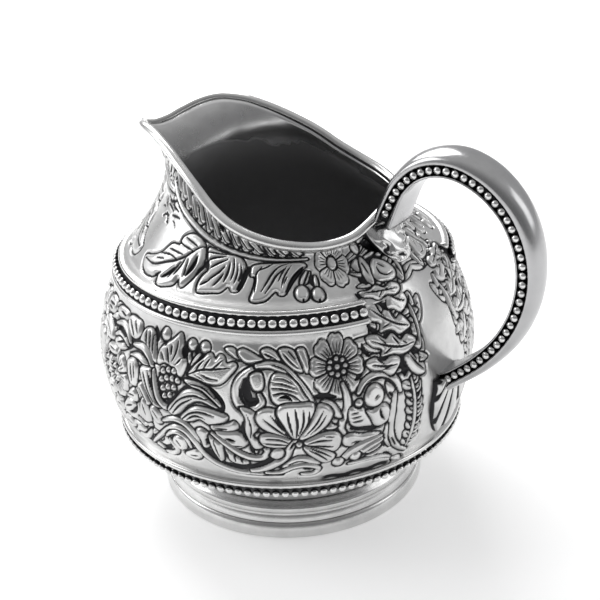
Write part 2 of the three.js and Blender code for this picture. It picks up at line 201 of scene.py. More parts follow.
class Sheet:
    """A height map and a patina map over half of the wall, mirrored onto the other half."""

    def __init__(self, per_degree, low, high):
        self.per_degree = per_degree
        self.x = np.arange(-1, 181, STEP / per_degree) * per_degree
        self.y = np.arange(low, high, STEP)
        self.height = np.zeros((len(self.y), len(self.x)))
        self.dark = np.zeros_like(self.height)

    def window(self, path, margin):
        columns = slice(*np.searchsorted(self.x, [path[:, 0].min() - margin, path[:, 0].max() + margin]))
        rows = slice(*np.searchsorted(self.y, [path[:, 1].min() - margin, path[:, 1].max() + margin]))
        x, y = np.meshgrid(self.x[columns], self.y[rows])
        return (rows, columns), x, y

    def near(self, path, x, y):
        """Distance to a path and the share of its length at the nearest point."""
        best = np.full(x.shape, 1e9)
        share = np.zeros_like(x)
        for i in range(len(path) - 1):
            (ax, ay), (dx, dy) = path[i], path[i + 1] - path[i]
            t = np.clip(((x - ax) * dx + (y - ay) * dy) / (dx * dx + dy * dy + 1e-12), 0, 1)
            far = (x - ax - t * dx) ** 2 + (y - ay - t * dy) ** 2
            closer = far < best
            best = np.where(closer, far, best)
            share = np.where(closer, (i + t) / (len(path) - 1), share)
        return np.sqrt(best), share

    def inside(self, path, x, y):
        odd = np.zeros(x.shape, bool)
        for (ax, ay), (bx, by) in zip(path, np.roll(path, -1, axis=0)):
            if ay == by:
                continue
            crosses = ((ay > y) != (by > y)) & (x < (bx - ax) * (y - ay) / (by - ay) + ax)
            odd ^= crosses
        return odd

    def press(self, area, depth, lift, soft):
        """Raises what lies inside an edge and sinks a dark trench round it. `depth` is the distance inside."""
        height, dark = self.height[area], self.dark[area]
        from_trench = depth - TRENCH_MID
        rise = np.sin(np.clip(from_trench / (soft - TRENCH_MID), 0, 1) * np.pi / 2)
        raised = -TRENCH + (lift + TRENCH) * rise
        fall = 1 - smoothstep(np.abs(from_trench), 0, TRENCH_HALF)
        outside = height * (1 - fall) - TRENCH * fall
        self.height[area] = np.where(from_trench > 0, raised, np.minimum(outside, height))
        ring = 1 - smoothstep(np.abs(from_trench), 0.06, TRENCH_HALF - 0.08)
        self.dark[area] = np.where(from_trench > 0, ring, np.maximum(ring, dark))

    def blob(self, lift, points):
        path = smooth_path(points, closed=True)
        area, x, y = self.window(path, 1.0)
        if not x.size:
            return
        far, _ = self.near(path, x, y)
        self.press(area, np.where(self.inside(path, x, y), far, -far), lift, SOFT)

    def cord(self, width, points):
        path = smooth_path(points)
        area, x, y = self.window(path, width / 2 + 1)
        if not x.size:
            return
        far, share = self.near(path, x, y)
        half = width / 2 * (0.45 + 0.55 * np.sin(np.clip(share, 0.02, 0.98) * np.pi) ** 0.6)
        self.press(area, half - far, LIFT * 0.9, min(SOFT, width * 0.5))

    def cut(self, width, points, depth, darkness):
        path = smooth_path(points)
        area, x, y = self.window(path, width + 0.5)
        if not x.size:
            return
        far, share = self.near(path, x, y)
        half = width * 0.62 * (0.35 + 0.65 * np.sin(np.clip(share, 0.03, 0.97) * np.pi) ** 0.7)
        fall = 1 - smoothstep(far / half, 0.15, 1.35)
        self.height[area] = np.maximum(self.height[area] - depth * fall, -TRENCH - 0.12)
        self.dark[area] = np.maximum(self.dark[area], darkness * (1 - smoothstep(far / half, 0.45, 1.25)))

    def line(self, width, points):
        self.cut(width, points, 0.38, 0.95)

    def pit(self, width, points):
        self.cut(width, points, 1.0, 1.0)

    def boss(self, radius, points):
        for centre in points:
            area, x, y = self.window(centre[None], radius + 1)
            if x.size:
                depth = radius - np.hypot(x - centre[0], y - centre[1])
                self.press(area, depth, LIFT * 1.05, radius)

    def flower(self, petals, points):
        """Points: the centre, and then its reach across and up. Three lines run down each petal."""
        centre, reach = points[0], points[1]
        area, x, y = self.window(np.array([centre - reach, centre + reach]), 1)
        if not x.size:
            return
        u, v = (x - centre[0]) / reach[0], (y - centre[1]) / reach[1]
        size = reach.mean()
        r, turn = np.hypot(u, v), np.arctan2(v, u) + 0.3
        place = (turn * petals / (2 * np.pi)) % 1 - 0.5
        edge = 1.0 - 0.2 * np.abs(2 * place) ** 2.6 - 0.05 * np.exp(-((place * 9) ** 2))
        depth = (edge - r) * size
        self.press(area, depth, LIFT, SOFT)
        height, dark = self.height[area], self.dark[area]
        seam = r * size * np.abs(np.sin((np.abs(place) - 0.5) * 2 * np.pi / petals))
        fall = (1 - smoothstep(seam, 0.05, 0.42)) * (depth > 0)
        for share in (-0.22, 0.0, 0.22):
            vein = r * size * np.abs(np.sin((place - share) * 2 * np.pi / petals))
            reachable = smoothstep(r, 0.34, 0.42) * (1 - smoothstep(r, 0.66, 0.84))
            fall = np.maximum(fall, 0.8 * (1 - smoothstep(vein, 0.03, 0.3)) * reachable)
        self.height[area] = height - 0.42 * fall
        self.dark[area] = np.maximum(dark, fall)
        self.press(area, (0.29 - r) * size, LIFT, 0.8)

    def draw(self, text, mirror=None):
        """Draws motifs in their order. A mirror is the sum of a motif's degrees and its copy's."""
        for row in re.split(r"\s+(?=[a-z])", text.strip()):
            tool, size, shapes = row.split(None, 2)
            for shape in shapes.split("/"):
                points = np.array([[float(q) for q in pair.split(",")] for pair in shape.split()])
                if mirror is not None:
                    places = points[:1] if tool == "flower" else points
                    places[:, 0] = mirror - places[:, 0]
                points[:, 0] *= self.per_degree
                getattr(self, tool)(float(size), points)

    def foliage(self, first, last, low, high, size, seed):
        """Fills a zone with overlapping pointed leaves, for the gaps that the drawn motifs leave."""
        chance = np.random.default_rng(seed)
        for up in np.arange(low, high, size * 0.62):
            for across in np.arange(first * self.per_degree, last * self.per_degree, size * 0.8):
                centre = np.array([across, up]) + chance.uniform(-0.35, 0.35, 2) * size
                turn = chance.uniform(-1.1, 1.1) + math.pi / 2 * chance.choice([-0.35, 1, 1.7])
                long, wide = size * chance.uniform(0.7, 0.95), size * chance.uniform(0.26, 0.38)
                spine = np.array([math.cos(turn), math.sin(turn)])
                side = np.array([-spine[1], spine[0]])
                outline = [(-0.9, 0), (-0.3, 0.9), (0.35, 0.8), (1, 0.1), (0.3, -0.75), (-0.4, -0.85)]
                points = np.array([centre + a * long * spine + b * wide * side for a, b in outline])
                if points[:, 1].min() < low or points[:, 1].max() > high:
                    continue
                self.blob(0.3, points)
                self.line(0.4, np.array([centre - 0.7 * long * spine, centre + 0.6 * long * spine]))

    def sprig(self, size, points):
        """Pointed leaflets in pairs up a stem. The size is each leaflet's length."""
        path = smooth_path(points, spacing=0.25)
        run = max(2, int(len(path) * 0.25 / (size * 0.62)))
        for k in range(run):
            for side in (1, -1):
                i = int((k + 0.25 * (side > 0) + 0.2) / run * (len(path) - 3))
                ahead = path[i + 2] - path[i]
                ahead = ahead / np.hypot(*ahead)
                turn = side * (0.72 + 0.12 * math.sin(k * 2.1 + side))
                spine = np.array([
                    ahead[0] * math.cos(turn) - ahead[1] * math.sin(turn),
                    ahead[0] * math.sin(turn) + ahead[1] * math.cos(turn),
                ])
                across = np.array([-spine[1], spine[0]])
                outline = [(0, 0), (0.3, 0.3), (0.65, 0.27), (1, 0.0), (0.7, -0.27), (0.3, -0.3)]
                self.blob(0.3, np.array([path[i] + size * (u * spine + v * across) for u, v in outline]))
                self.line(0.36, np.array([path[i] + 0.25 * size * spine, path[i] + 0.75 * size * spine]))
        self.cord(0.8, points)

    def settle(self):
        """Soft dirt spreads a little from the black lines onto the ground between them."""
        spread = self.dark
        for _ in range(3):
            for axis in (0, 1):
                total = np.cumsum(np.insert(spread, 0, 0, axis=axis), axis=axis)
                size, reach = spread.shape[axis], 3
                last = np.minimum(np.arange(size) + reach + 1, size)
                first = np.maximum(np.arange(size) - reach, 0)
                gaps = (last - first).reshape((-1, 1) if axis == 0 else (1, -1))
                spread = (np.take(total, last, axis) - np.take(total, first, axis)) / gaps
        ground = 1 - smoothstep(self.height, 0.0, 0.12)
        self.dark = np.maximum(self.dark, np.clip(spread * 1.3 - 0.25, 0, 0.6) * ground)

    def sample(self, degrees, up, layer):
        """The layer's values at places on the wall, between its cells."""
        i = np.clip((np.asarray(up) - self.y[0]) / STEP, 0, len(self.y) - 1.001)
        j = np.clip((np.asarray(degrees) * self.per_degree - self.x[0]) / STEP, 0, len(self.x) - 1.001)
        i0, j0 = i.astype(int), j.astype(int)
        fi, fj = i - i0, j - j0
        top = layer[i0, j0] * (1 - fj) + layer[i0, j0 + 1] * fj
        low = layer[i0 + 1, j0] * (1 - fj) + layer[i0 + 1, j0 + 1] * fj
        return top * (1 - fi) + low * fi


# Each row: a tool, its size, and its points as degrees,millimetres. A slash starts the next motif
# of the same tool and size.
BELLY_LEFT = """
blob 0.4 101,50 98,50.6 96,49.5 94.8,47 93.8,43.5 96,43.7 99,45.3 102,46.2
line 0.5 100,50 98.6,46.2 / 98.2,50 96.8,45.6 / 96.6,49.3 95.4,45
pit 1.2 96.8,51.3 94.6,48.8
blob 0.4 110.5,50.6 107,51 103,50.6 102.5,48 104.5,46.4 108,46.8 110,48.6
line 0.5 109,50 105,47 / 106.5,50.5 103.8,48
blob 0.4 119,50.4 115,51.2 111,50.8 111.5,49 114.5,48.4 118,48.7
line 0.6 116,50 112,49.8
blob 0.5 128,50.4 124,51.2 120.6,50 121,48 125,47 128.5,48
line 0.5 127,49 122,49.6
line 0.4 126.5,48.2 122.5,48.4
cord 1.9 104.5,45.2 100,45.5 97.3,44.2 95.2,42
pit 1 101.5,43.7 98,43.3 95.9,41.8
cord 1.7 106.5,45 109,46.8 113,47.8 117,46.8
cord 1.3 107.5,44 110.5,45.2 114,45.2 116.5,44
pit 1 115.2,46 112,46 110,45.4
cord 1.6 105.5,42.2 102,43 98,42 95.5,40.2
blob 0.5 125,46.5 121,46 117.5,44.3 117,42.5 120,41.6 124,43 127,45
line 0.5 124.5,45 118.5,43
blob 0.45 106.5,41 104,42 101.6,41 101.4,37.5 102.4,35.3 104.4,35.4 106,38
line 0.5 104.7,40.5 103.4,36.5
line 0.4 103.2,41 102.4,37.6
blob 0.5 100.2,41 97.6,41.6 94.9,41.4 94.2,38.4 92.6,35 91.2,33 94,32.8 96.5,35 99,38
line 0.5 98.4,40.3 96.4,36.5 94,33.8 / 96.6,41 95.2,38 93.3,34.6
blob 0.45 101,36.5 99.2,37.4 97,34.6 95.8,32.4 97.2,31.6 99.5,33.6
line 0.4 100,36 97.2,33
blob 0.5 100.4,32 99,33.5 97.4,32 96.7,29 97.1,27 99.4,26.8 101,28.6
line 0.4 99.2,32 98.4,29
blob 0.45 96.3,31.8 94.6,32.6 92.6,31.4 91.8,29 93.4,27.8 95.4,28.8
line 0.4 95,31.4 93.2,29.4
blob 0.45 106,33 103.4,34.6 101.6,33.4 102,31.4 104.6,30.6 107,31.4
line 0.4 105.6,32.4 102.8,32.8
blob 0.45 110,28.6 106,31 103.2,30.2 104.4,28 108,26.4 111,26.8
line 0.5 109,27.8 104.8,29.6
pit 0.9 108.6,25.8 105.6,27.2 103.4,29.2
cord 1.3 103,26.4 100,25.3 97,26.5
cord 1.4 108.4,23.6 104,24 100.6,23.3 98.6,25
pit 0.9 101.8,22.4 99,22
cord 1.4 106,20.4 102,21 99.5,23 97.8,24.6
blob 0.4 97,25.3 95,25.2 93.3,23.8 95,22.4 97.2,23.4
pit 0.9 97.7,23 95.8,23.8
flower 6 112.5,35.5 6.6,6.4
boss 0.8 114.6,36.6 111.2,36.7 113,33.6
blob 0.45 120,40.6 117,41.8 113.6,41.4 113,40 116,39 119,39.2
line 0.4 118.5,40.3 114.5,40.5
blob 0.5 121,30.4 118,32.2 115,30.6 116,28.4 119.6,27.4
line 0.5 119.6,29.4 116.6,30.2
blob 0.45 118,26.4 115,28 112.4,27 113,24.8 116.5,24
line 0.5 116.8,25.6 113.6,26.2
blob 0.4 113.6,23 110,24.4 107,23 109,21 112.4,21
line 0.5 112,22.4 108.4,22.6
cord 1.3 118,20.4 112,19.4 106,19.2 100,19.4 95,18.6
"""

BELLY_MID = """
blob 0.5 93.1,47 92,48.3 89.3,49.9 86.4,52 85,50.3 84.2,47.3 82.9,46.1 83.6,43.2 84.6,42 88,43.8 91,44.2
93.2,43.3
line 0.5 92.2,46.6 90.6,44.8
line 0.6 90,47.8 89.3,46 88.7,44.6
line 0.5 86.4,50.2 86.7,47.4 87.7,45.2 / 88.5,48.8 88.3,46.6 / 84.6,46.4 86.2,44.8
boss 1.5 92.2,50.6
pit 1 91.8,48.9 90.9,48.4
cord 0.8 82.2,48.8 82.1,46.8 81,44.4 / 78.2,48.8 80,47 81.6,44.4
boss 1.35 82,49.9 77.6,49.9
pit 1.4 84.3,49.4 83.9,46.8
pit 1.2 80.1,49.8 80,48.4
pit 1 76.5,48.8 78.2,47.3
blob 0.45 82.3,43 80.5,45.4 78.4,47 76.2,48.8 75,48.8 74,47.6 72.6,48.9 71.2,48.5 70.5,47 68.2,47.5 67.2,46.8
69.2,44.4 72,42.2 75.5,41.8 79,42.5
line 0.55 82,43.2 78,44.8 74,45.4 69.2,46.2
line 0.5 79.6,44.4 78.4,46 77.2,47 / 77.2,45.2 76.2,46.6 75.2,47.8 / 74.4,45.5 72.6,46.8 71.4,47.8 / 77.8,43.9
75.4,43.2 72.6,43.2
line 0.4 79.6,43.4 76.8,42.6
boss 0.74 91,42.2 89,42.9 87.1,42.9 91.4,40.2 89.5,40.9 87.5,41.1 85.6,41 / 90.7,38.2 88.8,38.9 86.8,39.1
90,36.4 88.1,37 86.2,37.2 89,34.9
pit 0.6 92.4,41.6 92.3,38.4 90.9,35.7 89.2,34.9 87.4,36 85.5,38.5
cord 1.7 94.6,41.4 93.7,38 92.3,35 89.9,33.6 87,34.5 84.6,37.6 82.6,39.6
blob 0.5 89,33.3 86.5,36.2 83,39.4 79,40.1 75.5,39.5 72.6,37.6 71.2,36.2 74,36.6 78,37.4 81.6,36 85,33 87.2,32.2
line 0.5 88,33.4 84.6,36.8 80,38.6 75.6,38.2 / 87,32.9 84,35.8 80.4,37.8
blob 0.5 85.2,31.4 83,34 80,35.9 76,36.2 72,35.6 69.9,34.9 70.3,33.5 72.6,32.6 75.5,31.9 78.2,32.9 81,31.8
line 0.5 84,32 81,34.2 77.6,35 73.6,34.5
line 0.45 82.4,32.2 79.6,33.8 76.4,33.5
blob 0.45 75.4,31.6 72,32.3 69.6,33.1 68,33.8 66.9,32.2 68.6,30.9 72,30.5 74.8,30.8
line 0.45 73.8,31.3 70,31.7
blob 0.45 83.6,41.7 80,42 76,41.1 73,39.2 71.1,37.3 71.2,36.4 74,38.1 77.5,40 81,40.5
line 0.4 81.8,41.2 77,40.8 73.4,38.7
pit 0.9 76,41.4 73.6,40 71.2,37.6 71.4,36
cord 1.5 91.6,29.4 87,31 83.3,30.4 80.9,28 79.3,24.8
blob 0.45 80.2,29.6 79,27.2 78.4,25.2 77,25 76.1,27 75.9,29.2 78,30.6
pit 0.6 77,27.8 77,26.2
blob 0.45 76.1,29 76,26 74.6,23 73.4,21.4 72.6,22.2 72.4,25 73,28
line 0.4 74.9,28 74.2,25 73.5,22.8
blob 0.45 73,28 71.8,26 71.4,23.5 70.2,22 67.6,21.4 65,21.8 66.2,23.4 69,25.5
pit 0.7 71.4,24.8 71.2,22.8
line 0.4 69.2,24.4 68.8,22.4 / 67.4,23.6 66.8,22.2
pit 1.6 78.6,24.8 76,23 74.6,21.6
blob 0.45 74.2,30.2 70,30.7 67,31 65.2,29.5 64.6,28 66.2,26.7 69,26.3 71.6,28.2
pit 0.8 70.9,28.8 68.4,28.5
line 0.4 69.4,27 66.4,27.2
cord 1.7 75,29.6 71,26.9 67,24.6 63.6,23.7 60.6,24.1 59.4,25.7 60.4,27.2 62.4,26.9 62.7,25.7
pit 0.9 64.2,26.8 63.2,25.2
pit 1.5 73.2,21.2 69,20.4 65,20.5 61,21.8 57.6,23.6 55.6,24.8
cord 1.5 99,20.6 93.6,24.8 90,27.4 87,28.8 84,28.4 81.5,26.2 79.3,23.4 76.6,21.2 72.5,19.5 68,18.6 62,18.4
56,18.4
cord 1.2 91.6,25 89.4,26.6 86.6,27.3 84,26.2 82.9,23.8
blob 0.4 89.6,24.2 88,26 85.6,26.3 84.4,24.8 84.8,22.8 86.6,22 88.6,22.6
line 0.4 87.8,25.2 86.4,23.4
cord 1.3 90.6,24.2 88.6,21.6 90.4,19.8 94,19.2
pit 1.2 96,21.4 92.8,20.8 90.4,22.4
blob 0.35 83.6,22.6 81,23.6 79.6,22 81,20.4 84,20.2 86,21
line 0.4 83.8,21.4 81,21.8
"""

BELLY_RIGHT = """
blob 0.4 71.3,50.3 69,50.7 67.2,49.6 66.2,48 68,48.5 70,49.3
blob 0.45 67.4,49.8 66,50.6 63.8,50.1 61,49 59.4,48.5 61.4,47.7 64.4,47.5 66.6,48.6 / 60.4,50.3 58.4,50.9
56.2,50.1 54.6,48.5 55.4,47.6 58.4,48.2
line 0.45 59.6,49.8 56,48.5
blob 0.45 55.2,50.4 53.4,50.9 51,50.3 49,48 48.2,45.4 50.2,45.6 53.2,47.5
line 0.45 54,49.8 51.6,47.6 49.6,46.2
line 0.4 52.4,50.2 50.4,48.2
blob 0.4 49.8,50.4 47.8,50.6 46.6,48 45.6,45.6 47.4,45 48.8,47.4
cord 1.9 59,47.2 63,46 66.3,43.8 67.5,41 66.7,38.2 64.4,36.9 61.6,37.2 60.1,38.8 60.8,40.4
pit 2 64.8,43.6 64.6,41 63.4,39 62.1,39.2
line 0.4 66.3,42.4 66.2,39.6 64.9,37.9
blob 0.4 63.4,45 60.4,45.6 59.6,42.6 60.4,41.4 62.2,41.4 63.4,43
cord 2 61.5,46.9 57.5,47.3 53.8,46.1 50.7,43.4 48.2,40.7 46.2,38
line 0.45 57.4,47.4 53.5,46.1 50.3,43.2
blob 0.45 57.6,43.9 56.4,45.3 53.5,45.1 50.4,43 48.6,40.4 47.4,38.5 49.4,38.1 52,38.2 55,37.8 57.1,38.9
57.9,41.4
line 0.4 56.8,44.4 54,44.1 51.8,43.1 / 57.4,43.4 54.4,43 50.6,41.9 / 57.5,42.2 54.4,41.9 50.4,41
line 0.5 57.2,40.6 54.6,41 51.6,40.3 49.4,38.8
pit 0.7 55.2,39.9 53.4,40.1 52,39.2
flower 8 38.6,45.6 8.1,7.5
boss 0.6 40.5,46.8 38.6,47.4 36.8,46.9 36.2,45.6 36.9,44.3 38.7,43.8 40.4,44.4 40.9,45.6
boss 0.7 38.6,45.6
cord 1.7 37.6,41.6 36.7,39 36.6,36 38.1,33 38.6,30.6 37.4,28.8
blob 0.45 44.3,37.8 43,38.8 41,38 39.3,36 38.4,33.6 39.9,33.8 41.8,36
pit 0.7 42.5,37.3 42,36.8
pit 1.2 45.8,39.5 43.2,39.4 40,39
blob 0.4 42.6,33.6 41,32.2 39.6,31.6 41,30.9 43.8,31.6
blob 0.45 66.4,37.4 65,34.6 65.4,31.6 64.4,29 63,26.6 60.6,27 61.4,29.6 61.8,31.6 61.1,33.6 62.6,36.6
line 0.4 64.4,36 63.4,33 63.6,30
boss 0.75 61.6,30.4
pit 0.8 65.7,33.6 65.8,31 65,28.8
blob 0.5 52,29 56,30.4 60.8,32.6 62.2,35 60.8,37 57.4,37.4 54.2,35.4 52.2,31.6
line 0.45 53,29.9 56,32 60,35
line 0.4 53,30.4 55.4,33 58,36
blob 0.5 51.9,29.4 54.8,33.2 56.4,36.4 55,38.1 50.4,38.4 46.2,38.1 45.6,36.2 47.8,32.2 50.2,29.4
line 0.5 52,30.2 52.9,33.6 53.4,36.6
line 0.55 51.2,29.8 50.8,33.4 51.2,37.2
line 0.45 50.6,30.4 49.2,33.4 49,37 / 50,30.4 47.9,33.4 47.4,36.4
blob 0.5 50.3,29 47.9,32.4 45.8,35.8 44.6,37.8 42.2,37.2 40.8,35.2 42.3,32.6 45,30.7 48,29.4
line 0.45 48.8,30.2 45.8,33 43.6,36.2
line 0.4 47.6,30.4 44.8,32.6 42.9,35
blob 0.5 51.6,28.2 54.5,29.9 58,31 60.8,30.7 61.5,29.1 60.3,27.6 57,27 54.5,27.1 52,27.4
line 0.45 53,28.4 56,29.5 60,29.8 / 53,27.9 56.4,28.2 60.4,28.5
blob 0.5 49.2,27.9 46,29.7 42,30.5 39.6,29.9 38.5,28 39,26 40.6,24.7 43.8,25.8 47,26.8
line 0.45 48,28 44.6,28.5 41.4,28.2 / 48,27.4 44.8,27 41.2,26.4
line 0.35 43.6,29.6 40.8,29
blob 0.5 49.3,26.9 46,26.4 42,24.8 40.2,23.2 41.6,21.8 44,21.6 46.2,23.1 48.4,25
line 0.45 47.8,26.1 45,24.4 42.6,22.5
line 0.4 47.4,26.4 44.2,25 41.6,23.4
cord 1.9 51.6,28.6 53.2,26.4 54.2,24.4 57.4,22 61,20.2 64.6,19.3
blob 0.4 57.6,26.4 56,26.9 54.8,26 54.9,24.6 56.8,23.6 58.8,24.4
pit 0.5 53,26.8 51.6,28.4
boss 0.7 50.5,27.6
blob 0.4 56,20.6 53.6,22.6 51,24.2 48.4,23.9 46,22.4 44.4,21 47,21.2 50,21.9 53,21.3
line 0.45 54,21.7 50.8,22.9 47.4,21.9
cord 1.3 60.5,18.8 56,19.2 52.6,20.7 49.6,21.2 46.6,20.6 45,19.4 46.4,18.2 50,18.1
pit 0.9 49.5,20 46.8,19.8
blob 0.4 36,35.7 36.5,33 35.3,30.7 31.4,29.9 29.2,29.8 29.6,31.4 31.4,34 32.4,35.2 34,35.7
line 0.35 35.9,34.3 33.7,34.2 / 35.9,33.1 33,33.2 / 35.6,32 32.4,32
blob 0.45 31.3,34.2 29.4,33.8 27.6,34.6 25.4,34.6 23.8,32.8 23.9,30.6 26,29.2 28.4,29.2 30,31.8
pit 0.6 27.2,33.8 26.6,31.6 25.8,30.8
pit 0.9 36,30.2 32,29.4 29.4,28.6 26,28.9
blob 0.5 31.6,37.2 30.2,39.4 28.2,40 26.3,39 25.6,37 26.8,35 29,34.5 31,35.4
pit 0.35 27.6,37.3 28.6,36.7
cord 1.8 33.2,38.8 31.4,40.8 27.6,41.9 23.4,41.2 20.8,38.8 20,36.4
line 0.4 30.4,41 26.6,41.1 23,39.6
blob 0.4 24.6,39.6 22.4,38.2 21.6,35.6 23.2,35.2 24.4,37
pit 0.6 23.9,37 22.4,35.4
boss 1 33.3,36.3
pit 1.1 33.8,42 31.6,42.8
cord 1.7 21.9,36.4 22.7,32 23.2,27 21.6,22.6 18.6,19.6 15.4,17.6
line 0.4 22.9,24.6 20.8,21.4
cord 1 24.6,28.6 24.6,24.4 23,21.8
sprig 3.6 16.2,19.4 15,24 14.8,30 16,38.4
blob 0.45 38.2,27 37.5,28.6 35.6,28.9 33,28.1 29,27.6 26.6,26.9 27.4,26.2 30,26.3 33,25.8 36.2,25.2 37.8,25.8
pit 0.7 35.6,26.3 33,26.2
cord 2.5 39.6,20.5 37.4,21.8 34.6,23.8 30.4,24.9 26.4,25.6
boss 1.4 39.2,20.7
cord 1.9 34.6,21.5 32,22.6 29.2,23.8 26,24.8
boss 1.4 34,21.5
pit 0.7 36.6,21.2 35.2,22.6
cord 0.9 30.6,22 28.4,22.6 26.4,23.4 / 30.6,20.6 27.6,21.2 25.4,22.4
cord 1 36,19.5 30,19.7 25.5,19 21.6,17.6
pit 0.8 24.5,20 22,18.4
blob 0.35 20.6,16.8 18,16.6 16.6,15.4 18.6,15 20.6,15.8
"""

BORDER = """
blob 0.45 18.4,43.8 21.6,45 24,44.4 27,45.8 30,45 28.2,43 25,42.2 22.4,40.6 20.4,41.6
line 0.5 28.6,44.4 24,43.2 20.4,42.8
line 0.4 26.4,45.2 24.4,43.8 / 25.2,42.6 23,42.8
blob 0.45 10.6,38 13.4,38.4 16,40.6 17,43.6 15.2,45.2 14,43.4 12,43 12.2,41 10.4,40.4
line 0.45 15.6,44 13.6,41.4 11.4,39.4
line 0.35 14,44 13.4,42
pit 1.6 17.6,45 18,42.2 17.8,39.6
blob 0.45 9.4,54.6 10.8,51.6 12.8,51.2 11.9,48.4 13.2,46.2 10.8,43.8 9.4,46.6 8.6,50.6
line 0.45 10.4,53.4 10.6,49 11,45.2
line 0.35 12.2,50.8 10.8,50
blob 0.5 11.5,46.6 14.5,48.5 17,47.7 19.6,49.9 22,49 25.2,50.8 28.6,50.4 27,48.2 24,47 25,45.6 20.5,45.2
17.4,44.4 14,44.8
line 0.55 27.4,49.6 22,47.4 17,46.2 13,46.2
line 0.4 24.6,50 22.6,48 / 20,49.2 18.4,47 / 24,46 21.4,46.8
line 0.35 16.6,47.2 15.6,46.6
pit 0.9 30.2,49.4 29.6,47.6 28.6,46.4
blob 0.5 12,49.8 14.2,53 16.6,52.5 18.4,56 21,54.6 22.8,57.6 26,57.2 25.2,53.8 22.4,52.7 23.4,50.9 19,50.5 17,49
14.5,49.1
line 0.55 25,56.4 21,53.6 17,51.4 13.4,50.2
line 0.4 22.4,56.6 20.6,54 / 18.4,55 17.4,52.4 / 22.4,51.6 19.4,52
pit 1 27,53 25.4,51.6 24,51.2
pit 0.8 19.8,56.8 18.8,55
blob 0.5 9.6,55.4 11,58.6 13.4,57.4 15,60.6 18.4,60.4 17.6,57.4 18.2,55.4 15.6,54.6 13.6,53.4
line 0.5 17.4,59.6 14,56.6 11,55.4
line 0.4 15,59.6 13.6,57
pit 0.9 20,59.4 19.4,57.6
"""

NECK_LEFT = """
blob 0.4 100,72.6 103.2,70.4 102.6,69 107,68 108.6,66.5 109.4,65.6 112.4,64.2 116,63.2 118.6,62.6 117,61
114,60.2 108,60.4 105.4,61.4 104.2,59.9 102.4,59.5 99,60.1 96,61.3 95,62.9 93.6,61.7 92.4,61.3 91,62.3 89.4,64.2
88.2,66.4 87.6,68.6 88.4,71 91,73.2 96,73.4
line 0.6 117,62.3 110,62.5 104,64.3 100,65.7 96.5,67.6 93,70.6 90,72.4
line 0.45 110,65 104,66 99.5,66.1 / 106.5,67 101.5,67.3 97,67.8
line 0.5 102.6,69.4 98,69.5 94,69.9 / 101.2,71.2 97,71.3 92.6,71.4
line 0.4 111,63.7 106,64.6
pit 0.8 102.4,61.4 100.2,62.7 98.8,64.4
line 0.5 99.4,62 98,64.2 97,66.2 / 97.4,63 96.4,65 95.8,67.4
line 0.45 107,60.9 103.8,62
pit 1.1 91.2,69.4 91.2,66.6 92.2,64.2
line 0.45 94.4,67.6 93.6,65.6 93,63.6
line 0.5 120,70.2 117.6,70.1
line 0.6 118,72 114,72.6 110.8,73
line 0.4 116,71.4 113,71.2 111,70.6
line 0.5 126,75.4 120,73.8 114,73.8
line 0.4 124,73 118,72.8 / 125,70.6 120,71.4
pit 0.9 88.6,65 87.3,67.4 86.1,68.6 84.6,68.4 84.2,67
"""

NECK_MID = """
blob 0.4 84,68 85.6,65.6 86,63.5 85.1,61.7 82.4,62 79,62.7 76.6,63.2 75,64.5 73.9,65.5 73,65.2 72,64.2 70.2,64.5
69.1,65.8 68.4,68 67.9,70.5 68.6,73 70.6,74.8 74,74.9 78,74.2 84,73.6 88,73 86.6,70.6
line 0.5 88,71.6 83.6,72.6 78,73.9
line 0.55 86.6,69.2 83,71.3 77.6,73.4
line 0.5 83.6,68 80.4,70.4 76.6,72.8 / 82.6,64.6 80.6,66.6 79,68 77,70.6 / 79.4,64.2 77.9,66.2 76.6,68.4
line 0.6 75.8,66 75.2,69 75.2,72
line 0.45 84.4,63.4 81.6,65.4
line 0.5 73.2,67 73,70.4 74,73.8 / 71.6,66.4 71.2,69.6 71.8,72.6
line 0.45 70.1,67.4 69.7,70 70.2,72.4
pit 1 70,65.1 68.6,68 67.8,71.4 66.5,73 65.5,72.2 65.3,70.4
blob 0.4 65.6,70 64.4,70.2 63.7,69.3 64.1,66 64.7,62.5 63.4,62 60,62.7 58,64.3 56.4,66 55.4,66.3 54.5,64.9
53,64.9 51.7,66.6 50,69.3 47.4,72.4 45.2,74.6 43,76.2 44,77.4 50,77.1 56,76.2 62,75 65.8,73.4
line 0.5 50.6,76.6 54.4,75 57.2,72 59,69 61,65.4 / 52.6,74.4 55.6,71.4 57.6,68 59.6,64.9 / 57.2,75.6 60,73.8
62.8,72.4
line 0.45 61.4,74 63.6,70.8 63.4,65
line 0.4 49.4,76 51.4,73.2 53,70.2 53.8,67 / 51.2,75.6 53.4,72.4 54.9,69.4
line 0.35 51.4,71.4 52.8,68.6
pit 0.8 44.6,75.6 47.4,73 49.8,70 51.9,66.2
blob 0.4 46.6,68.6 45.5,71.2 43.7,73.6 42,74.2 42.6,71.4 44.4,69 / 41.8,72 40.4,71.4 40.1,68.9 41.6,68.4
cord 0.9 43.4,74 45,71.6 46.2,69 / 40.4,72 40.5,70 40.6,67.4
blob 0.5 43.8,66 44.8,68 46.4,68.6 48,67.8 48.9,65.8 48.2,63.6 46.3,62.6 44.4,63.8 / 38.4,65 39.2,67 40.7,67.6
42.2,66.8 42.9,64.8 42.2,62.8 40.6,62 38.9,63
pit 0.4 46.2,63.6 46.3,62.7 / 40.6,63 40.7,62.1
"""

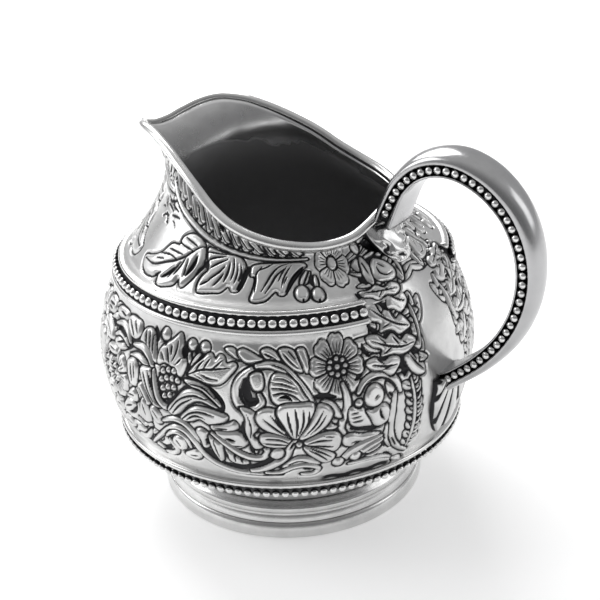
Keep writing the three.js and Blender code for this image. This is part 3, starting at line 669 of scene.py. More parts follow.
NECK_RIGHT = """
pit 1.2 23,68 21.8,64.6
blob 0.4 21.6,69.8 22.8,71 23.2,73.6 21,75 19.6,75 20.5,71.8
blob 0.45 18.2,75.2 16.8,73 16.5,70 17.3,67 18.2,64.6 19.2,63.6 20.6,65 21,68 20,71.4
line 0.35 19,72.6 19.2,67
blob 0.45 16.4,69 17.3,66.5 16.5,64 13,62.8 9.6,62.6 7.8,64.2 8.2,67 10.4,70 13.4,72 15.3,71
line 0.4 14.6,68.6 14.6,66 12.2,64.4 9.8,64.6
line 0.35 13.4,69.4 11.6,67
pit 2.2 14.6,79 11.6,76.4 9,73.8 7.2,72
blob 0.4 18.4,81 17,78 18.4,76.2 20,78 20.4,81
blob 0.45 10,60.6 13,62.2 16,61.4 19,63.4 22.4,62.4 26,62.8 25.4,60.6 22.4,59.8 20,58.2 16.6,59 13.4,57.8
10.6,58.6
line 0.5 25,61.8 19,60.8 12,59.6
line 0.4 21.8,61.8 20,60.8 / 16.4,61 15,60
line 0.35 20,59 18.4,60.2
pit 0.7 27.4,62.6 26.6,60 25.6,58.8
flower 6 31.6,76.2 7.6,10.2
"""


BELLY_TABLES = (BELLY_LEFT, BELLY_MID, BELLY_RIGHT)
NECK_STEM = "cord 1.5 42.5,78.9 50,78.2 60,77.1 70,76.2 80,75.5 90,74.9 100,74.8 110,75.1 120,76.2 128,77.6"
BELLY_MIRROR, NECK_MIRROR = 232, 244  # the drawn motifs again, turned round, towards the spout


def belly_sheet():
    sheet = Sheet(0.8, 13, 58)
    sheet.foliage(134, 178, 19, 51, 6.4, 11)
    sheet.foliage(9, 27, 40, 59, 5.6, 12)
    for text in BELLY_TABLES:
        sheet.draw(text, BELLY_MIRROR)
    for text in (*BELLY_TABLES, BORDER):
        sheet.draw(text)
    sheet.settle()
    return sheet


FEATHER_ROWS = {
    "blob 0.4": [
        (0, 0.4), (-0.04, 0.34), (0.22, 0.62), (0.5, 0.9), (1, 1), (0.86, 0.62), (0.62, 0.3), (0.3, 0.1),
    ],
    "line 0.45": [(0.12, 0.2), (0.45, 0.5), (0.84, 0.86)],
    "line 0.35": [(0.3, 0.2), (0.56, 0.38), (0.8, 0.64)],
    "pit 1.0": [(-0.1, 0.75), (0.25, 0.98)],
}


def feathers(sheet, first, last, step, mirror=None):
    """Slanting leaflets between the neck's stem and the rim, with a pit beside every third."""
    rows = []
    for k, a in enumerate(np.arange(first, last, step)):
        stem = float(np.interp(a, [43, 60, 80, 100, 120], [78.4, 77, 75.5, 74.9, 76]))
        lean, reach = 9 + 2 * math.sin(k * 2.3), 6.4 + 1.1 * math.sin(k * 1.7)
        for tool, outline in FEATHER_ROWS.items():
            if tool[:3] != "pit" or k % 3 == 1:
                rows.append(tool + "".join(f" {a + u * lean:.2f},{stem + v * reach:.2f}" for u, v in outline))
    sheet.draw("\n".join(rows), mirror)


def neck_sheet():
    sheet = Sheet(0.55, 57, 84)
    sheet.foliage(6, 26, 58, 80, 5.0, 13)
    for mirror in (NECK_MIRROR, None):
        feathers(sheet, 44, 122, 5.6, mirror)
        for text in (NECK_STEM, NECK_LEFT, NECK_MID):
            sheet.draw(text, mirror)
    sheet.draw(NECK_RIGHT)
    sheet.settle()
    return sheet


# ---- meshes ----
def make(name, node_name, material, points, faces, patina):
    """A piece in place of a CAD node, from points in millimetres about the body's axis."""
    mesh = bpy.data.meshes.new(name)
    placed = np.asarray(points, float) * MM + np.array([AXIS_X, 0, 0])
    mesh.from_pydata(placed.tolist(), [], [list(face) for face in faces])
    mesh.validate()
    layer = mesh.attributes.new("patina", "FLOAT", "POINT")
    layer.data.foreach_set("value", np.asarray(patina, np.float32))
    mesh.shade_smooth()
    piece = bpy.data.objects.new(name, mesh)
    bpy.context.scene.collection.objects.link(piece)
    mesh.materials.append(material)
    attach(piece, "root")
    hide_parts(node_name)
    return piece


def grid_faces(rows, columns, around=True, flip=False):
    """Quads over a grid of points stored row by row."""
    i, j = np.meshgrid(np.arange(rows - 1), np.arange(columns if around else columns - 1), indexing="ij")
    k = (j + 1) % columns
    quads = np.stack([i * columns + j, i * columns + k, (i + 1) * columns + k, (i + 1) * columns + j], -1)
    quads = quads.reshape(-1, 4)
    return quads[:, ::-1].tolist() if flip else quads.tolist()


def lathe(profile, start=0.0, end=2 * np.pi, count=240):
    """Points and faces of a closed outline of [radius, height] turned about the axis."""
    profile = np.asarray(profile, float)
    whole = end - start > 2 * np.pi - 1e-6
    angles = np.linspace(start, end, count, endpoint=not whole)
    points = np.stack([
        np.outer(profile[:, 0], np.cos(angles)),
        np.outer(profile[:, 0], np.sin(angles)),
        np.outer(profile[:, 1], np.ones(count)),
    ], -1)
    points = np.concatenate([points, points[:1]]).reshape(-1, 3)
    faces = grid_faces(len(profile) + 1, count, around=whole)
    if not whole:
        ring = [i * count for i in range(len(profile))]
        faces += [ring, [i + count - 1 for i in ring][::-1]]
    return weld(points, faces)


def weld(points, faces):
    """Joins points that lie in the same place."""
    _, index, back = np.unique(np.round(points, 5), axis=0, return_index=True, return_inverse=True)
    back = back.reshape(-1)
    joined = []
    for face in faces:
        loop = [int(back[i]) for i in face]
        loop = [q for n, q in enumerate(loop) if q != loop[n - 1]]
        if len(loop) > 2:
            joined.append(loop)
    return points[index], joined


def rounded(profile, radius, steps=5):
    """A closed outline with its corners rounded off."""
    profile = np.asarray(profile, float)
    out = []
    for i, p in enumerate(profile):
        before, after = profile[i - 1] - p, profile[(i + 1) % len(profile)] - p
        size_b, size_a = np.hypot(*before), np.hypot(*after)
        r = min(radius, size_b * 0.45, size_a * 0.45)
        a, b = p + before / size_b * r, p + after / size_a * r
        for t in np.linspace(0, 1, steps):
            out.append((1 - t) ** 2 * a + 2 * t * (1 - t) * p + t * t * b)
    return np.array(out)


def beads(places, alongs, outs, radii, squareness=0.82, rows=9, columns=14):
    """Domed beads at places, each with its own radius along, across and out."""
    lat = np.linspace(-np.pi / 2, np.pi / 2, rows)
    lon = np.linspace(0, 2 * np.pi, columns, endpoint=False)
    power = lambda q: np.sign(q) * np.abs(q) ** squareness
    unit = np.stack([
        np.outer(np.cos(lat), power(np.cos(lon))),
        np.outer(np.cos(lat), power(np.sin(lon))),
        np.outer(np.sin(lat), np.ones(columns)),
    ], -1).reshape(-1, 3)
    one_points, one_faces = weld(unit, grid_faces(rows, columns))
    points, faces = [], []
    for n, (place, along, out, size) in enumerate(zip(places, alongs, outs, radii)):
        along = along / np.linalg.norm(along)
        out = out - along * (out @ along)
        out = out / np.linalg.norm(out)
        across = np.cross(out, along)
        local = one_points * size
        points.append(place + local[:, :1] * along + local[:, 1:2] * across + local[:, 2:] * out)
        faces += [[q + n * len(one_points) for q in face] for face in one_faces]
    return np.concatenate(points), faces


# ---- materials ----
def node(tree, kind, inputs=(), **settings):
    """A shader node. Each of its inputs takes a value or another node's output."""
    made = tree.nodes.new(kind)
    for key, value in settings.items():
        setattr(made, key, value)
    for key, value in dict(inputs).items():
        if isinstance(value, bpy.types.NodeSocket):
            tree.links.new(value, made.inputs[key])
        else:
            made.inputs[key].default_value = value
    return made


def silver(name, bright, dull, gloss, haze=0.1, ripple=0.02, dents=0.0, grime=0.25,
           black=(0.028, 0.028, 0.03), black_gloss=0.5):
    """Silver with drifting tarnish, scratches, soft hammer marks, and black where the patina says."""
    material = bpy.data.materials.new(name)
    material.use_nodes = True
    tree = material.node_tree
    place = node(tree, "ShaderNodeTexCoord").outputs["Object"]

    def noise(scale, detail, roughness=0.5, vector=place):
        inputs = {"Scale": scale, "Detail": detail, "Roughness": roughness, "Vector": vector}
        return node(tree, "ShaderNodeTexNoise", inputs).outputs["Fac"]

    def ranged(value, low, high, to_low=0.0, to_high=1.0):
        inputs = {"Value": value, "From Min": low, "From Max": high, "To Min": to_low, "To Max": to_high}
        return node(tree, "ShaderNodeMapRange", inputs).outputs["Result"]

    def mixed(kind, factor, a, b):
        inputs = {"Factor": factor, "A": a, "B": b}
        return node(tree, "ShaderNodeMix", inputs, data_type=kind).outputs["Result"]

    def bump(height, strength, distance, **under):
        inputs = {"Height": height, "Strength": strength, "Distance": distance * MM, **under}
        return node(tree, "ShaderNodeBump", inputs).outputs["Normal"]

    cloud = noise(85, 6, 0.62)
    speck = noise(1500, 4)
    layer = node(tree, "ShaderNodeAttribute", attribute_name="patina").outputs["Fac"]
    broken = node(tree, "ShaderNodeMath", {0: speck, 1: grime, 2: layer}, operation="MULTIPLY_ADD")
    held = ranged(broken.outputs["Value"], 0.2 + grime * 0.5, 0.62 + grime * 0.5)
    tone = mixed("RGBA", ranged(cloud, 0.42, 0.72), (*bright, 1), (*dull, 1))
    rough = ranged(cloud, 0.3, 0.75, gloss, gloss + haze)

    hammered = bump(noise(260, 2), 1.0, ripple)
    dented = bump(speck, 1.0, dents, Normal=hammered)
    turned = {"Vector": place, "Scale": (1, 1, 9), "Rotation": (0.5, 0.3, 0.2)}
    hair = noise(900, 3, vector=node(tree, "ShaderNodeMapping", turned).outputs["Vector"])
    shader = tree.nodes["Principled BSDF"].inputs
    shader["Metallic"].default_value = 1.0
    for key, output in (
        ("Base Color", mixed("RGBA", held, tone, (*black, 1))),
        ("Roughness", mixed("FLOAT", held, rough, black_gloss)),
        ("Normal", bump(hair, 0.05, 0.02, Normal=dented)),
    ):
        tree.links.new(output, shader[key])
    return material


chased = silver("chased_silver_look", (0.66, 0.66, 0.655), (0.5, 0.5, 0.5), gloss=0.26, haze=0.12,
                ripple=0.04, dents=0.03, black=(0.035, 0.035, 0.037))
polished = silver("polished_silver_look", (0.68, 0.68, 0.675), (0.54, 0.54, 0.54), gloss=0.17)
# The handle is the same silver as the rest, given a darker tone here as painted shade.
shaded_handle_silver = silver("handle_silver_painted_shade_look", (0.46, 0.46, 0.465), (0.38, 0.38, 0.385), gloss=0.17)
beaded = silver("beaded_silver_look", (0.74, 0.74, 0.735), (0.55, 0.55, 0.55), gloss=0.2)
# Above the inside's edge this silver is brighter than the other polished silver, which is a painted highlight
# on the lip.
satin = silver("inside_silver_lip_highlight_look", (0.78, 0.78, 0.78), (0.56, 0.56, 0.56), gloss=0.2, haze=0.12,
               black=(0.42, 0.42, 0.425), black_gloss=0.62, grime=0.12)

# ---- the body ----
COLUMNS = 1040
belly, neck = belly_sheet(), neck_sheet()
BELT_LOW, BELT_HIGH = 54.5, 1.5  # the shoulder belt: up the wall, and above the shoulder circle
BASE_LOW, BASE_HIGH = 8.6, 13.4  # the base belt: up the wall
BELT_LEVEL = 0.45  # height of the wall under both belts
RIM_FROM, RIM_TO = 81.0, 82.4  # the relief fades out here, under the rim wire
WALL_TOP = BELLY_SPAN + NECK_SPAN
INNER_WALL = 1.75  # keeps the deepest pits from breaking through


def above_shoulder(degrees, up):
    """True distance above the shoulder circle, since the neck's nominal height stretches with its own."""
    rim_r, rim_z = rim_at(np.radians(degrees))
    return (up - BELLY_SPAN) / NECK_SPAN * np.hypot(rim_r - SHOULDER[0], rim_z - SHOULDER[1])


def relief_at(degrees, up):
    """Height over the plain level and patina, at places on the wall."""
    low = up < 57.5
    height = np.where(low, belly.sample(degrees, up, belly.height), neck.sample(degrees, up, neck.height))
    dark = np.where(low, belly.sample(degrees, up, belly.dark), neck.sample(degrees, up, neck.dark))
    inside_sheets = (up > 13.1) & (up < WALL_TOP + 1)
    near_rim = 1 - smoothstep(up, RIM_FROM, RIM_TO)
    height = np.where(inside_sheets, height, 0) * near_rim
    dark = np.where(inside_sheets, dark, 0) * near_rim
    over = above_shoulder(degrees, up)
    on_belt = smoothstep(up, BELT_LOW - 0.3, BELT_LOW) * (1 - smoothstep(over, BELT_HIGH, BELT_HIGH + 0.3))
    on_belt = on_belt * smoothstep(degrees, 25.6, 26.4)
    on_base = smoothstep(up, BASE_LOW - 0.5, BASE_LOW) * (1 - smoothstep(up, BASE_HIGH - 0.4, BASE_HIGH))
    band = np.maximum(on_belt, on_base)
    height = height * (1 - band) + BELT_LEVEL * band
    dark = dark * (1 - band) + band
    return height, dark


def drift(turn, up):
    """A slow uneven field, about 0 to 1, for how much black each place has kept."""
    around, upwards = np.sin(turn * 17 + 1.3 * np.sin(up * 0.31)), np.sin(up * 0.83 + 2 * np.sin(turn * 9))
    return 0.5 + 0.25 * around + 0.25 * upwards


def body():
    angles = np.arange(COLUMNS) * 2 * np.pi / COLUMNS
    degrees = from_handle(angles)
    fine = 0.27
    ups = np.concatenate([
        np.arange(0, 8, 0.8), np.arange(8, 14, 0.4), np.arange(14, 53.5, fine), np.arange(53.5, 59.5, 0.35),
        np.arange(59.5, WALL_TOP, fine * 1.15), [WALL_TOP],
    ])
    turn, up = np.meshgrid(angles, ups)
    height, dark = relief_at(np.broadcast_to(degrees, up.shape), up)
    beside = smoothstep(degrees, 25.5, 29)
    above = (1 - smoothstep(above_shoulder(degrees, up), 1.7, 4.2)) * (up > 56)
    below = smoothstep(up, 51.2, 54.2) * (up <= 56)
    foot_side = smoothstep(up, 13.2, 13.6) * (1 - smoothstep(up, 14.2, 16.6))
    level = PEAK - (0.8 * above + 0.7 * below) * beside - 0.5 * foot_side
    out = height - level
    near_top = smoothstep(up, RIM_FROM, RIM_TO)
    out = out * (1 - near_top) + 0.1 * near_top
    outer = wall_point(turn, up, out)
    dark = np.maximum(dark * (0.8 + 0.4 * drift(turn, up)), smudges(turn, up))

    inner_ups = np.concatenate([[WALL_TOP], np.arange(81.5, 3.4, -1.3)])
    turn_in, up_in = np.meshgrid(angles, inner_ups)
    thick = INNER_WALL - 0.18 * smoothstep(up_in, 79, 82.5)
    inner = wall_point(turn_in, up_in, -thick)
    rows = np.concatenate([outer, inner])
    shade = np.concatenate([dark, inside_patina(turn_in, up_in)])
    count = len(rows)
    points = rows.reshape(-1, 3)
    faces = grid_faces(count, COLUMNS)
    centre_low, centre_high = len(points), len(points) + 1
    points = np.vstack([points, [[0, 0, FLOOR_Z], [0, 0, inner[-1, :, 2].mean()]]])
    for j in range(COLUMNS):
        k = (j + 1) % COLUMNS
        faces.append([centre_low, k, j])
        faces.append([centre_high, (count - 1) * COLUMNS + j, (count - 1) * COLUMNS + k])
    patina = np.concatenate([shade.reshape(-1), [0.3, 0.6]])
    piece = make("jug_body", "body_shell", chased, points, faces, patina)
    piece.data.materials.append(satin)
    inside = np.zeros(len(piece.data.polygons), np.int32)
    inside[(len(ups) - 1) * COLUMNS:(count - 1) * COLUMNS] = 1
    inside[(count - 1) * COLUMNS + 1::2] = 1
    piece.data.polygons.foreach_set("material_index", inside)


def smudges(turn, up):
    """Black left in the plain band over the base beads, in broken streaks."""
    degrees = from_handle(turn)
    side = np.where(np.sin(turn) < 0, 1.0, 0.6)
    streak = smoothstep(degrees, 20, 24) * (1 - smoothstep(degrees, 42, 47))
    wave = 0.5 + 0.5 * np.sin(degrees * 0.46) * np.sin(degrees * 0.23 + 1)
    mid = 16.1 + 0.25 * np.sin(degrees * 0.8)
    band = 1 - smoothstep(np.abs(up - mid), 0.3, 0.85)
    faint = (1 - smoothstep(np.abs(up - 15.9), 0.1, 0.6)) * smoothstep(wave, 0.45, 0.95) * (degrees > 46)
    return side * (streak * band * (0.75 + 0.25 * wave) + 0.45 * faint * (degrees < 84))


def inside_patina(turn, up):
    """The inside is left dark and satin; the lip and the spout's floor are polished up to an uneven edge, in a
    silver made brighter than the rest as a painted highlight.
    """
    degrees = from_handle(turn)
    edge = 78.8 - 5.5 * smoothstep(degrees, 95, 168) + 0.9 * np.sin(turn * 5) + 0.5 * np.sin(turn * 13 + 1)
    return 1.0 - smoothstep(up, edge - 0.5, edge + 0.2)


body()


# ---- rim ----
def rim():
    count, sides = 360, 20
    angles = np.linspace(0, 2 * np.pi, count, endpoint=False)
    r, z = rim_at(angles)
    centre = np.stack([r * np.cos(angles), r * np.sin(angles), z], -1)
    along = np.roll(centre, -1, 0) - np.roll(centre, 1, 0)
    along /= np.linalg.norm(along, axis=1)[:, None]
    across = np.cross(along, [0, 0, 1])
    across /= np.linalg.norm(across, axis=1)[:, None]
    over = np.cross(along, across)
    turns = np.linspace(0, 2 * np.pi, sides, endpoint=False)
    ring = (
        centre[None]
        + RIM_RADIUS * np.cos(turns)[:, None, None] * across[None]
        + RIM_RADIUS * np.sin(turns)[:, None, None] * over[None]
    )
    points = np.concatenate([ring, ring[:1]]).reshape(-1, 3)
    points, faces = weld(points, grid_faces(sides + 1, count))
    make("rim_roll", "rim_wire", polished, points, faces, np.zeros(len(points)))


rim()


# ---- belts ----
def belt_place(node_name, radius):
    """Radius and height of a wire's centre line, from its CAD box."""
    low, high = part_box(node_name)
    return (high.y - low.y) / 2 / MM - radius, (high.z + low.z) / 2 / MM


BEAD_RADIUS = 0.85
FILLET_RADIUS = 0.65
BELT_END = math.radians(26.5)


def belly_radius(height):
    return np.interp(height, _belly[:, 1], _belly[:, 0])


def wall_slope(height):
    """Directions along and out of the wall at a height, as [radius, height]."""
    up = np.array([belly_radius(height + 0.5) - belly_radius(height - 0.5), 1.0])
    up /= np.hypot(*up)
    return up, np.array([up[1], -up[0]])


def fillet(name, node_name, bead_side, half_open, sink):
    """A half-round wire. Its edge towards the beads, above (1) or below (-1) it, is blackened."""
    r, z = belt_place(node_name, FILLET_RADIUS)
    up, out = wall_slope(z)
    middle = np.array([r, z]) - out * sink
    turns = np.linspace(0, 2 * np.pi, 20, endpoint=False)
    depths = np.where(np.sin(turns) > 0, FILLET_RADIUS * 0.98, 1.5) * np.sin(turns)
    outline = [middle + up * 0.7 * math.cos(t) + out * depth for t, depth in zip(turns, depths)]
    if half_open:
        points, faces = lathe(outline, BELT_END, 2 * np.pi - BELT_END, 300)
    else:
        points, faces = lathe(outline, count=320)
    patina = smoothstep(bead_side * (points[:, 2] - z), 0.38, 0.62)
    make(name, node_name, polished, points, faces, patina)


def add_beads(name, node_name, places, alongs, outs, sizes, edge, **shape):
    """A row of beads whose sizes vary a little and whose foot is black up to the edge."""
    sizes = np.array(sizes) * (1 + 0.04 * SEED.uniform(-1, 1, places.shape))
    sizes[:, 2] = np.minimum(sizes[:, 2], BEAD_RADIUS)
    points, faces = beads(places, alongs, outs, sizes, **shape)
    each = len(points) // len(places)
    depth = np.einsum("ij,ij->i", points - np.repeat(places, each, 0), np.repeat(outs, each, 0))
    make(name, node_name, beaded, points, faces, 1 - smoothstep(depth, 0.0, edge))


def bead_belt(name, node_name, first, last, count, fill):
    r, z = belt_place(node_name, BEAD_RADIUS)
    _, out = wall_slope(z)
    turns = np.linspace(first, last, count, endpoint=last - first < 6.2)
    places = np.stack([r * np.cos(turns), r * np.sin(turns), np.full(count, z)], -1)
    alongs = np.stack([-np.sin(turns), np.cos(turns), 0 * turns], -1)
    outs = np.stack([out[0] * np.cos(turns), out[0] * np.sin(turns), np.full(count, out[1])], -1)
    pitch = r * abs(turns[1] - turns[0])
    add_beads(name, node_name, places, alongs, outs, [pitch * fill, 1.0, BEAD_RADIUS], 0.4)


fillet("shoulder_moulding_upper", "shoulder_upper_fillet", -1, True, 0.3)
fillet("shoulder_moulding_lower", "shoulder_lower_fillet", 1, True, 0.3)
fillet("base_moulding", "base_fillet", -1, False, 0.75)
bead_belt("shoulder_beads", "shoulder_bead_wire", BELT_END + 0.03, 2 * np.pi - BELT_END - 0.03, 97, 0.46)
bead_belt("base_beads", "base_bead_wire", 0, 2 * np.pi, 124, 0.41)


# ---- foot ----
def foot():
    low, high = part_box("foot_spool")
    spool_r, top, bottom = (high.y - low.y) / 2 / MM, high.z / MM, low.z / MM
    wire_r, wire_top = (foot_high.y - foot_low.y) / 2 / MM, foot_high.z / MM
    inner = 28.6
    spool = rounded([
        [inner, bottom - 0.2], [spool_r + 0.1, bottom - 0.2], [spool_r - 0.35, bottom + 1.3],
        [spool_r - 0.75, bottom + 2.2], [spool_r - 0.15, bottom + 2.9], [spool_r - 0.1, bottom + 3.9],
        [spool_r - 0.9, bottom + 4.7], [spool_r - 1.5, top], [inner, top],
    ], 0.8)
    points, faces = lathe(spool, count=256)
    dirt = smoothstep(points[:, 2], top - 0.7, top)
    make("foot_step", "foot_spool", polished, points, faces, 0.55 * dirt)
    wire = rounded([
        [inner, 0], [wire_r - 0.8, 0], [wire_r - 0.15, 0.5], [wire_r, 1.5], [wire_r - 0.1, 2.7],
        [wire_r - 0.45, 3.7], [wire_r - 0.8, wire_top + 0.1], [inner, wire_top + 0.1],
    ], 0.8)
    points, faces = lathe(wire, count=256)
    make("foot_ring", "foot_base_wire", polished, points, faces, np.zeros(len(points)))


foot()

# ---- handle ----
HANDLE_LINE = np.array([
    [30.9, 76.2], [32.2, 79.4], [35.6, 85.7], [40.8, 90.1], [47.6, 91.5], [54.6, 89.3], [60.5, 84.1],
    [63.9, 77.2], [64.9, 69.9], [63.7, 62.3], [60.4, 54.9], [54.9, 47.9], [48.4, 42.1], [42, 36.9],
])
HANDLE_WIDTHS = np.array([9.2, 9.2, 9.3, 9.4, 9.4, 9, 8.2, 7.4, 6.8, 6.6, 6.6, 6.8, 7, 7.2])
HANDLE_CROWNS = np.array([1.3, 1.5, 1.9, 2.3, 2.5, 2.5, 2.4, 2.2, 2, 1.9, 1.7, 1.5, 1.4, 1.3])
BAND_HALF = 1.6
CHANNEL_HALF = 1.12
CHANNEL_DEPTH = 1.6
BEAD_STAND = 0.4
CROWN_TRIM = 0.12  # keeps the loop's top inside the CAD box
HANDLE_BEADS = 43

_knots = np.r_[0, np.cumsum(np.sqrt(np.hypot(*np.diff(HANDLE_LINE, axis=0).T)))]
_fine = np.linspace(0, _knots[-1], 900)
_bow = spline(_fine, _knots, HANDLE_LINE)
_bow_run = np.r_[0, np.cumsum(np.hypot(*np.diff(_bow, axis=0).T))]
_bow_run /= _bow_run[-1]


def handle_at(share):
    """Centre, direction along, direction out, width and crown, at a share of the handle's length."""
    share = np.asarray(share, float)
    x, z = np.interp(share, _bow_run, _bow[:, 0]), np.interp(share, _bow_run, _bow[:, 1])
    low, high = np.clip(share - 0.004, 0, 1), np.clip(share + 0.004, 0, 1)
    dx = np.interp(high, _bow_run, _bow[:, 0]) - np.interp(low, _bow_run, _bow[:, 0])
    dz = np.interp(high, _bow_run, _bow[:, 1]) - np.interp(low, _bow_run, _bow[:, 1])
    size = np.hypot(dx, dz)
    knot = np.interp(share, _bow_run, _fine)
    width = np.interp(knot, _knots, HANDLE_WIDTHS)
    crown = np.interp(knot, _knots, HANDLE_CROWNS)
    zero = 0 * x
    return (
        np.stack([x, zero, z], -1),
        np.stack([dx / size, zero, dz / size], -1),
        np.stack([-dz / size, zero, dx / size], -1),
        width,
        crown,
    )


def handle():
    steps = 180
    centre, along, out, width, crown = handle_at(np.linspace(0, 1, steps))
    rings, patinas = [], []
    for i in range(steps):
        half = width[i] / 2
        top = crown[i] - CROWN_TRIM
        back = [
            [BAND_HALF + top * abs(math.sin(t)) ** 0.9, half * math.cos(t) * (1 - 0.02 * math.sin(t))]
            for t in np.linspace(0, np.pi, 25)
        ]
        floor = half - CHANNEL_DEPTH
        side = [
            [CHANNEL_HALF + 0.26, half + 0.02], [CHANNEL_HALF + 0.1, half - 0.06], [CHANNEL_HALF, half - 0.4],
            [CHANNEL_HALF - 0.1, floor + 0.15], [CHANNEL_HALF - 0.3, floor],
            [0, floor - 0.08],
            [-CHANNEL_HALF + 0.3, floor], [-CHANNEL_HALF + 0.1, floor + 0.15], [-CHANNEL_HALF, half - 0.4],
            [-CHANNEL_HALF - 0.1, half - 0.06], [-CHANNEL_HALF - 0.26, half + 0.02],
            [-BAND_HALF + 0.08, half - 0.06], [-BAND_HALF, half - 0.35],
        ]
        black = [0, 0.15, 0.85, 1, 1, 1, 1, 1, 0.85, 0.15, 0, 0, 0]
        under = [
            [-BAND_HALF - 0.12 * math.cos(t), (half - 0.9) * math.sin(t)] for t in np.linspace(-1.35, 1.35, 7)
        ]
        left = [[a, -b] for a, b in side]
        outline = back + left + under + side[::-1]
        share = i / (steps - 1)
        flare = 0.5 * float(1 - smoothstep(share, 0.0, 0.16)) + 1.5 * float(smoothstep(share, 0.88, 1.0)) ** 2
        outline = [[a * (1 + flare) if a < -CHANNEL_HALF else a, b * (1 + 0.1 * flare)] for a, b in outline]
        rings.append([centre[i] + a * out[i] + np.array([0, b, 0]) for a, b in outline])
        patinas.append([0] * len(back) + black + [0.15] * len(under) + black[::-1])
    rings = np.array(rings)
    columns = rings.shape[1]
    points = rings.reshape(-1, 3)
    faces = grid_faces(steps, columns, flip=True)
    faces += [list(range(columns)), list(range((steps - 1) * columns, steps * columns))[::-1]]
    # The handle takes the darker silver, which is painted shade.
    make("handle_loop", "handle_bow", shaded_handle_silver, points, faces, np.array(patinas).reshape(-1))


def handle_beads(name, node_name, side):
    centre, along, _, width, _ = handle_at(np.linspace(0.03, 0.945, HANDLE_BEADS))
    outwards = np.array([0.0, side, 0.0])
    places = centre + (width / 2 + BEAD_STAND - BEAD_RADIUS)[:, None] * outwards
    outs = np.tile(outwards, (HANDLE_BEADS, 1))
    sizes = [1.06 * BEAD_RADIUS, 1.1 * BEAD_RADIUS, 2 * BEAD_RADIUS]  # the last is cut to one radius
    add_beads(name, node_name, places, along, outs, sizes, 0.42, squareness=0.95, rows=11, columns=16)


handle()
handle_beads("handle_beads_left", "handle_left_bead_wire", 1)
handle_beads("handle_beads_right", "handle_right_bead_wire", -1)


# ---- leaf under the handle, and the saddle behind its upper end ----
LEAF_LOBES = 7
SADDLE_RADII = [60, 62, 66, 70, 74, 78], [40.2, 39.3, 35.6, 32.2, 29.6, 28.2]  # heights, and the wall there
SADDLE_HOLLOWS = (  # place and size, across and up
    (-0.7, 0.4, 0.14, 0.3), (0.72, 0.5, 0.12, 0.3), (-0.2, 0.2, 0.3, 0.1), (0.3, 0.5, 0.08, 0.2),
)


def plate(name, node_name, material, angle, z, front, back, patina):
    """A closed sheet between two grids of radii over the same angles and heights, black at the back."""
    rows, columns = front.shape
    count = rows * columns
    grids = [np.stack([r * np.cos(angle), r * np.sin(angle), z], -1).reshape(-1, 3) for r in (front, back)]
    faces = grid_faces(rows, columns, around=False)
    faces += (np.array(grid_faces(rows, columns, around=False, flip=True)) + count).tolist()
    edge = (
        list(range(columns))
        + [i * columns + columns - 1 for i in range(1, rows)]
        + [(rows - 1) * columns + j for j in range(columns - 2, -1, -1)]
        + [i * columns for i in range(rows - 2, 0, -1)]
    )
    faces += [[a, a + count, b + count, b] for a, b in zip(edge, edge[1:] + edge[:1])]
    patina = np.concatenate([patina.reshape(-1), np.ones(count)])
    make(name, node_name, material, np.concatenate(grids), faces, patina)


def plate_grid(node_name, rows, columns):
    """Shares up and across a node's box, heights to match, and the box's top and half width."""
    low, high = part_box(node_name)
    v = np.linspace(0, 1, rows)[:, None]
    u = np.linspace(-1, 1, columns)[None]
    z = low.z / MM + (high.z - low.z) / MM * v + 0 * u
    return v, u, z, high.z / MM, high.y / MM


def leaf():
    v, u, z, z_high, half_width = plate_grid("handle_leaf", 90, 110)
    shape = np.sqrt(np.clip(1 - ((1 - v) / 1.02) ** 2.6, 0, 1))
    shape = shape * (0.78 + 0.22 * np.sin(np.clip(v / 0.5, 0, 1) * np.pi / 2))
    shape = shape * (1 - 0.12 * smoothstep(v, 0.5, 1))
    y = u * (half_width - 0.15) * shape
    fan = np.arctan2(y, z_high + 3.5 - z)
    rib = np.abs(np.sin(fan * LEAF_LOBES / 2.3 * np.pi))
    edge = np.clip((1 - np.abs(u)) / 0.12, 0, 1) ** 0.6 * np.clip(v / 0.06, 0, 1) ** 0.6
    thick = 0.35 + edge * (0.6 + rib**0.55) * (0.7 + 0.6 * v)
    ground = belly_radius(z) - PEAK
    front = ground + thick - 0.3
    groove = 1 - smoothstep(rib, 0.22, 0.68)
    outline = 1 - smoothstep(np.minimum((1 - np.abs(u)) / 0.07, v / 0.04), 0.2, 1)
    plate("leaf_terminal", "handle_leaf", chased, y / front, z, front, ground - 0.5,
          np.maximum(groove * 0.95, outline))


def saddle():
    v, u, z, _, half_width = plate_grid("handle_socket", 40, 60)
    y = u * half_width * (0.42 + 0.5 * np.sin(v * np.pi / 2) ** 1.2)
    radius = np.interp(z, *SADDLE_RADII)
    dome = np.clip(1 - u * u, 0, 1) ** 0.6 * np.clip(3.4 * v * (1.2 - v), 0, 1) ** 0.8
    hollow = np.zeros_like(dome)
    warp = 0.12 * np.sin(v * 17 + 2) + 0.08 * np.sin(u * 13)
    for at_u, at_v, size_u, size_v in SADDLE_HOLLOWS:
        hollow = np.maximum(hollow, np.exp(-(((u + warp - at_u) / size_u) ** 2 + ((v - at_v) / size_v) ** 2)))
    lumps = 0.22 * np.sin(u * 6 + v * 3 + 1) * np.sin(v * 8 + u)
    front = radius - 0.7 + 2.3 * dome * (1 - 0.5 * hollow) + lumps * dome
    patina = np.maximum(1 - smoothstep(dome, 0.05, 0.4), 0.85 * smoothstep(hollow, 0.5, 0.95))
    plate("handle_saddle", "handle_socket", polished, y / radius, z, front, radius - 1.8,
          patina)


leaf()
saddle()

# ---- floor, light and camera ----
LIT_PLACE = (0, 0, 0.04)


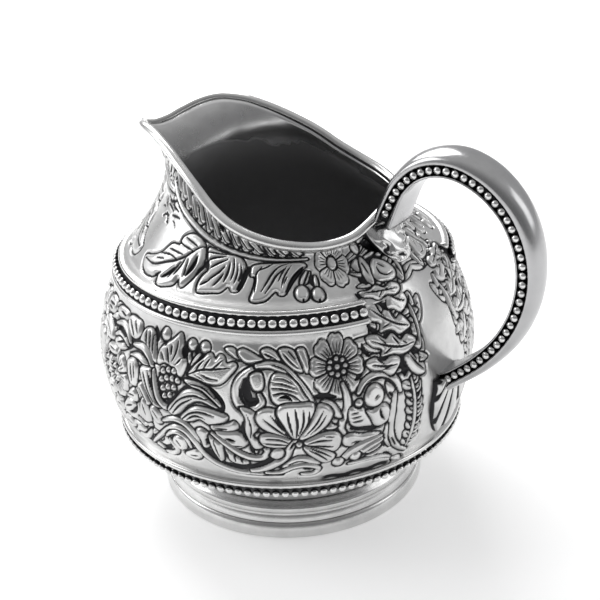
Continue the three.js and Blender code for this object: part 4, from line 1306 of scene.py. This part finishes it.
def lay_floor(reach=6.0):
    mesh = bpy.data.meshes.new("floor")
    corners = [(-reach, -reach), (reach, -reach), (reach, reach), (-reach, reach)]
    mesh.from_pydata([(x, y, cad_low.z - 0.0001) for x, y in corners], [], [(0, 1, 2, 3)])
    floor = bpy.data.objects.new("floor", mesh)
    bpy.context.scene.collection.objects.link(floor)
    paper = bpy.data.materials.new("pale_floor")
    paper.use_nodes = True
    shader = paper.node_tree.nodes["Principled BSDF"].inputs
    shader["Base Color"].default_value = (0.93, 0.93, 0.93, 1)
    shader["Roughness"].default_value = 0.7
    shader["Specular IOR Level"].default_value = 0.1
    shader["Emission Color"].default_value = (1, 1, 1, 1)
    shader["Emission Strength"].default_value = 0.35
    mesh.materials.append(paper)


def softbox(name, place, size, power):
    light = bpy.data.lights.new(name, "AREA")
    light.shape = "RECTANGLE"
    light.size, light.size_y = size
    light.energy = power
    lamp = bpy.data.objects.new(name, light)
    lamp.location = place
    lamp.rotation_euler = (Vector(LIT_PLACE) - Vector(place)).to_track_quat("-Z", "Y").to_euler()
    bpy.context.scene.collection.objects.link(lamp)


def studio():
    """Pale walls, a little darker at the horizon and on the camera's side."""
    world = bpy.data.worlds.new("studio")
    bpy.context.scene.world = world
    world.use_nodes = True
    tree = world.node_tree
    where = node(tree, "ShaderNodeTexCoord").outputs["Generated"]
    height = node(tree, "ShaderNodeSeparateXYZ", {"Vector": where}).outputs["Z"]
    share = node(tree, "ShaderNodeMath", {0: height, 1: 0.5, 2: 0.5}, operation="MULTIPLY_ADD").outputs["Value"]
    ramp = node(tree, "ShaderNodeValToRGB", {"Fac": share})
    stops = ramp.color_ramp.elements
    stops[0].position, stops[0].color = 0.48, (0.6, 0.6, 0.6, 1)
    stops[1].position, stops[1].color = 1.0, (0.66, 0.66, 0.66, 1)
    stops.new(0.62).color = (0.55, 0.55, 0.56, 1)
    facing = node(tree, "ShaderNodeVectorMath", {0: where, 1: (0.62, -0.78, 0.0)}, operation="DOT_PRODUCT")
    room = node(tree, "ShaderNodeMapRange", {
        "Value": facing.outputs["Value"], "From Min": -0.1, "From Max": 0.95, "To Min": 1.0, "To Max": 0.42,
    }, interpolation_type="SMOOTHSTEP").outputs["Result"]
    shade = node(tree, "ShaderNodeVectorMath", {0: ramp.outputs["Color"], "Scale": room}, operation="SCALE")
    background = tree.nodes["Background"]
    background.inputs["Strength"].default_value = 0.95
    tree.links.new(shade.outputs["Vector"], background.inputs["Color"])


lay_floor()
softbox("back_box", (-0.75, 0.5, 0.85), (0.8, 0.8), 9)
softbox("left_box", (-0.9, -0.45, 0.6), (0.6, 0.8), 4)
softbox("right_box", (0.8, 0.5, 0.5), (0.4, 0.6), 1)
studio()

CAMERA_PLACE, CAMERA_AIM = Vector((0.1523, -0.2109, 0.1788)), Vector((-0.0196, 0.0171, 0.0383))
CAMERA_ROLL = math.radians(-2.4)
camera_data = bpy.data.cameras.new("camera")
camera_data.lens = 72
camera_data.sensor_width = 36
camera = bpy.data.objects.new("camera", camera_data)
camera.location = CAMERA_PLACE
look = (CAMERA_AIM - CAMERA_PLACE).to_track_quat("-Z", "Y")
camera.rotation_mode = "QUATERNION"
camera.rotation_quaternion = look @ Quaternion((0, 0, 1), CAMERA_ROLL)
bpy.context.scene.collection.objects.link(camera)
bpy.context.scene.camera = camera
bpy.context.scene.view_settings.view_transform = "Standard"
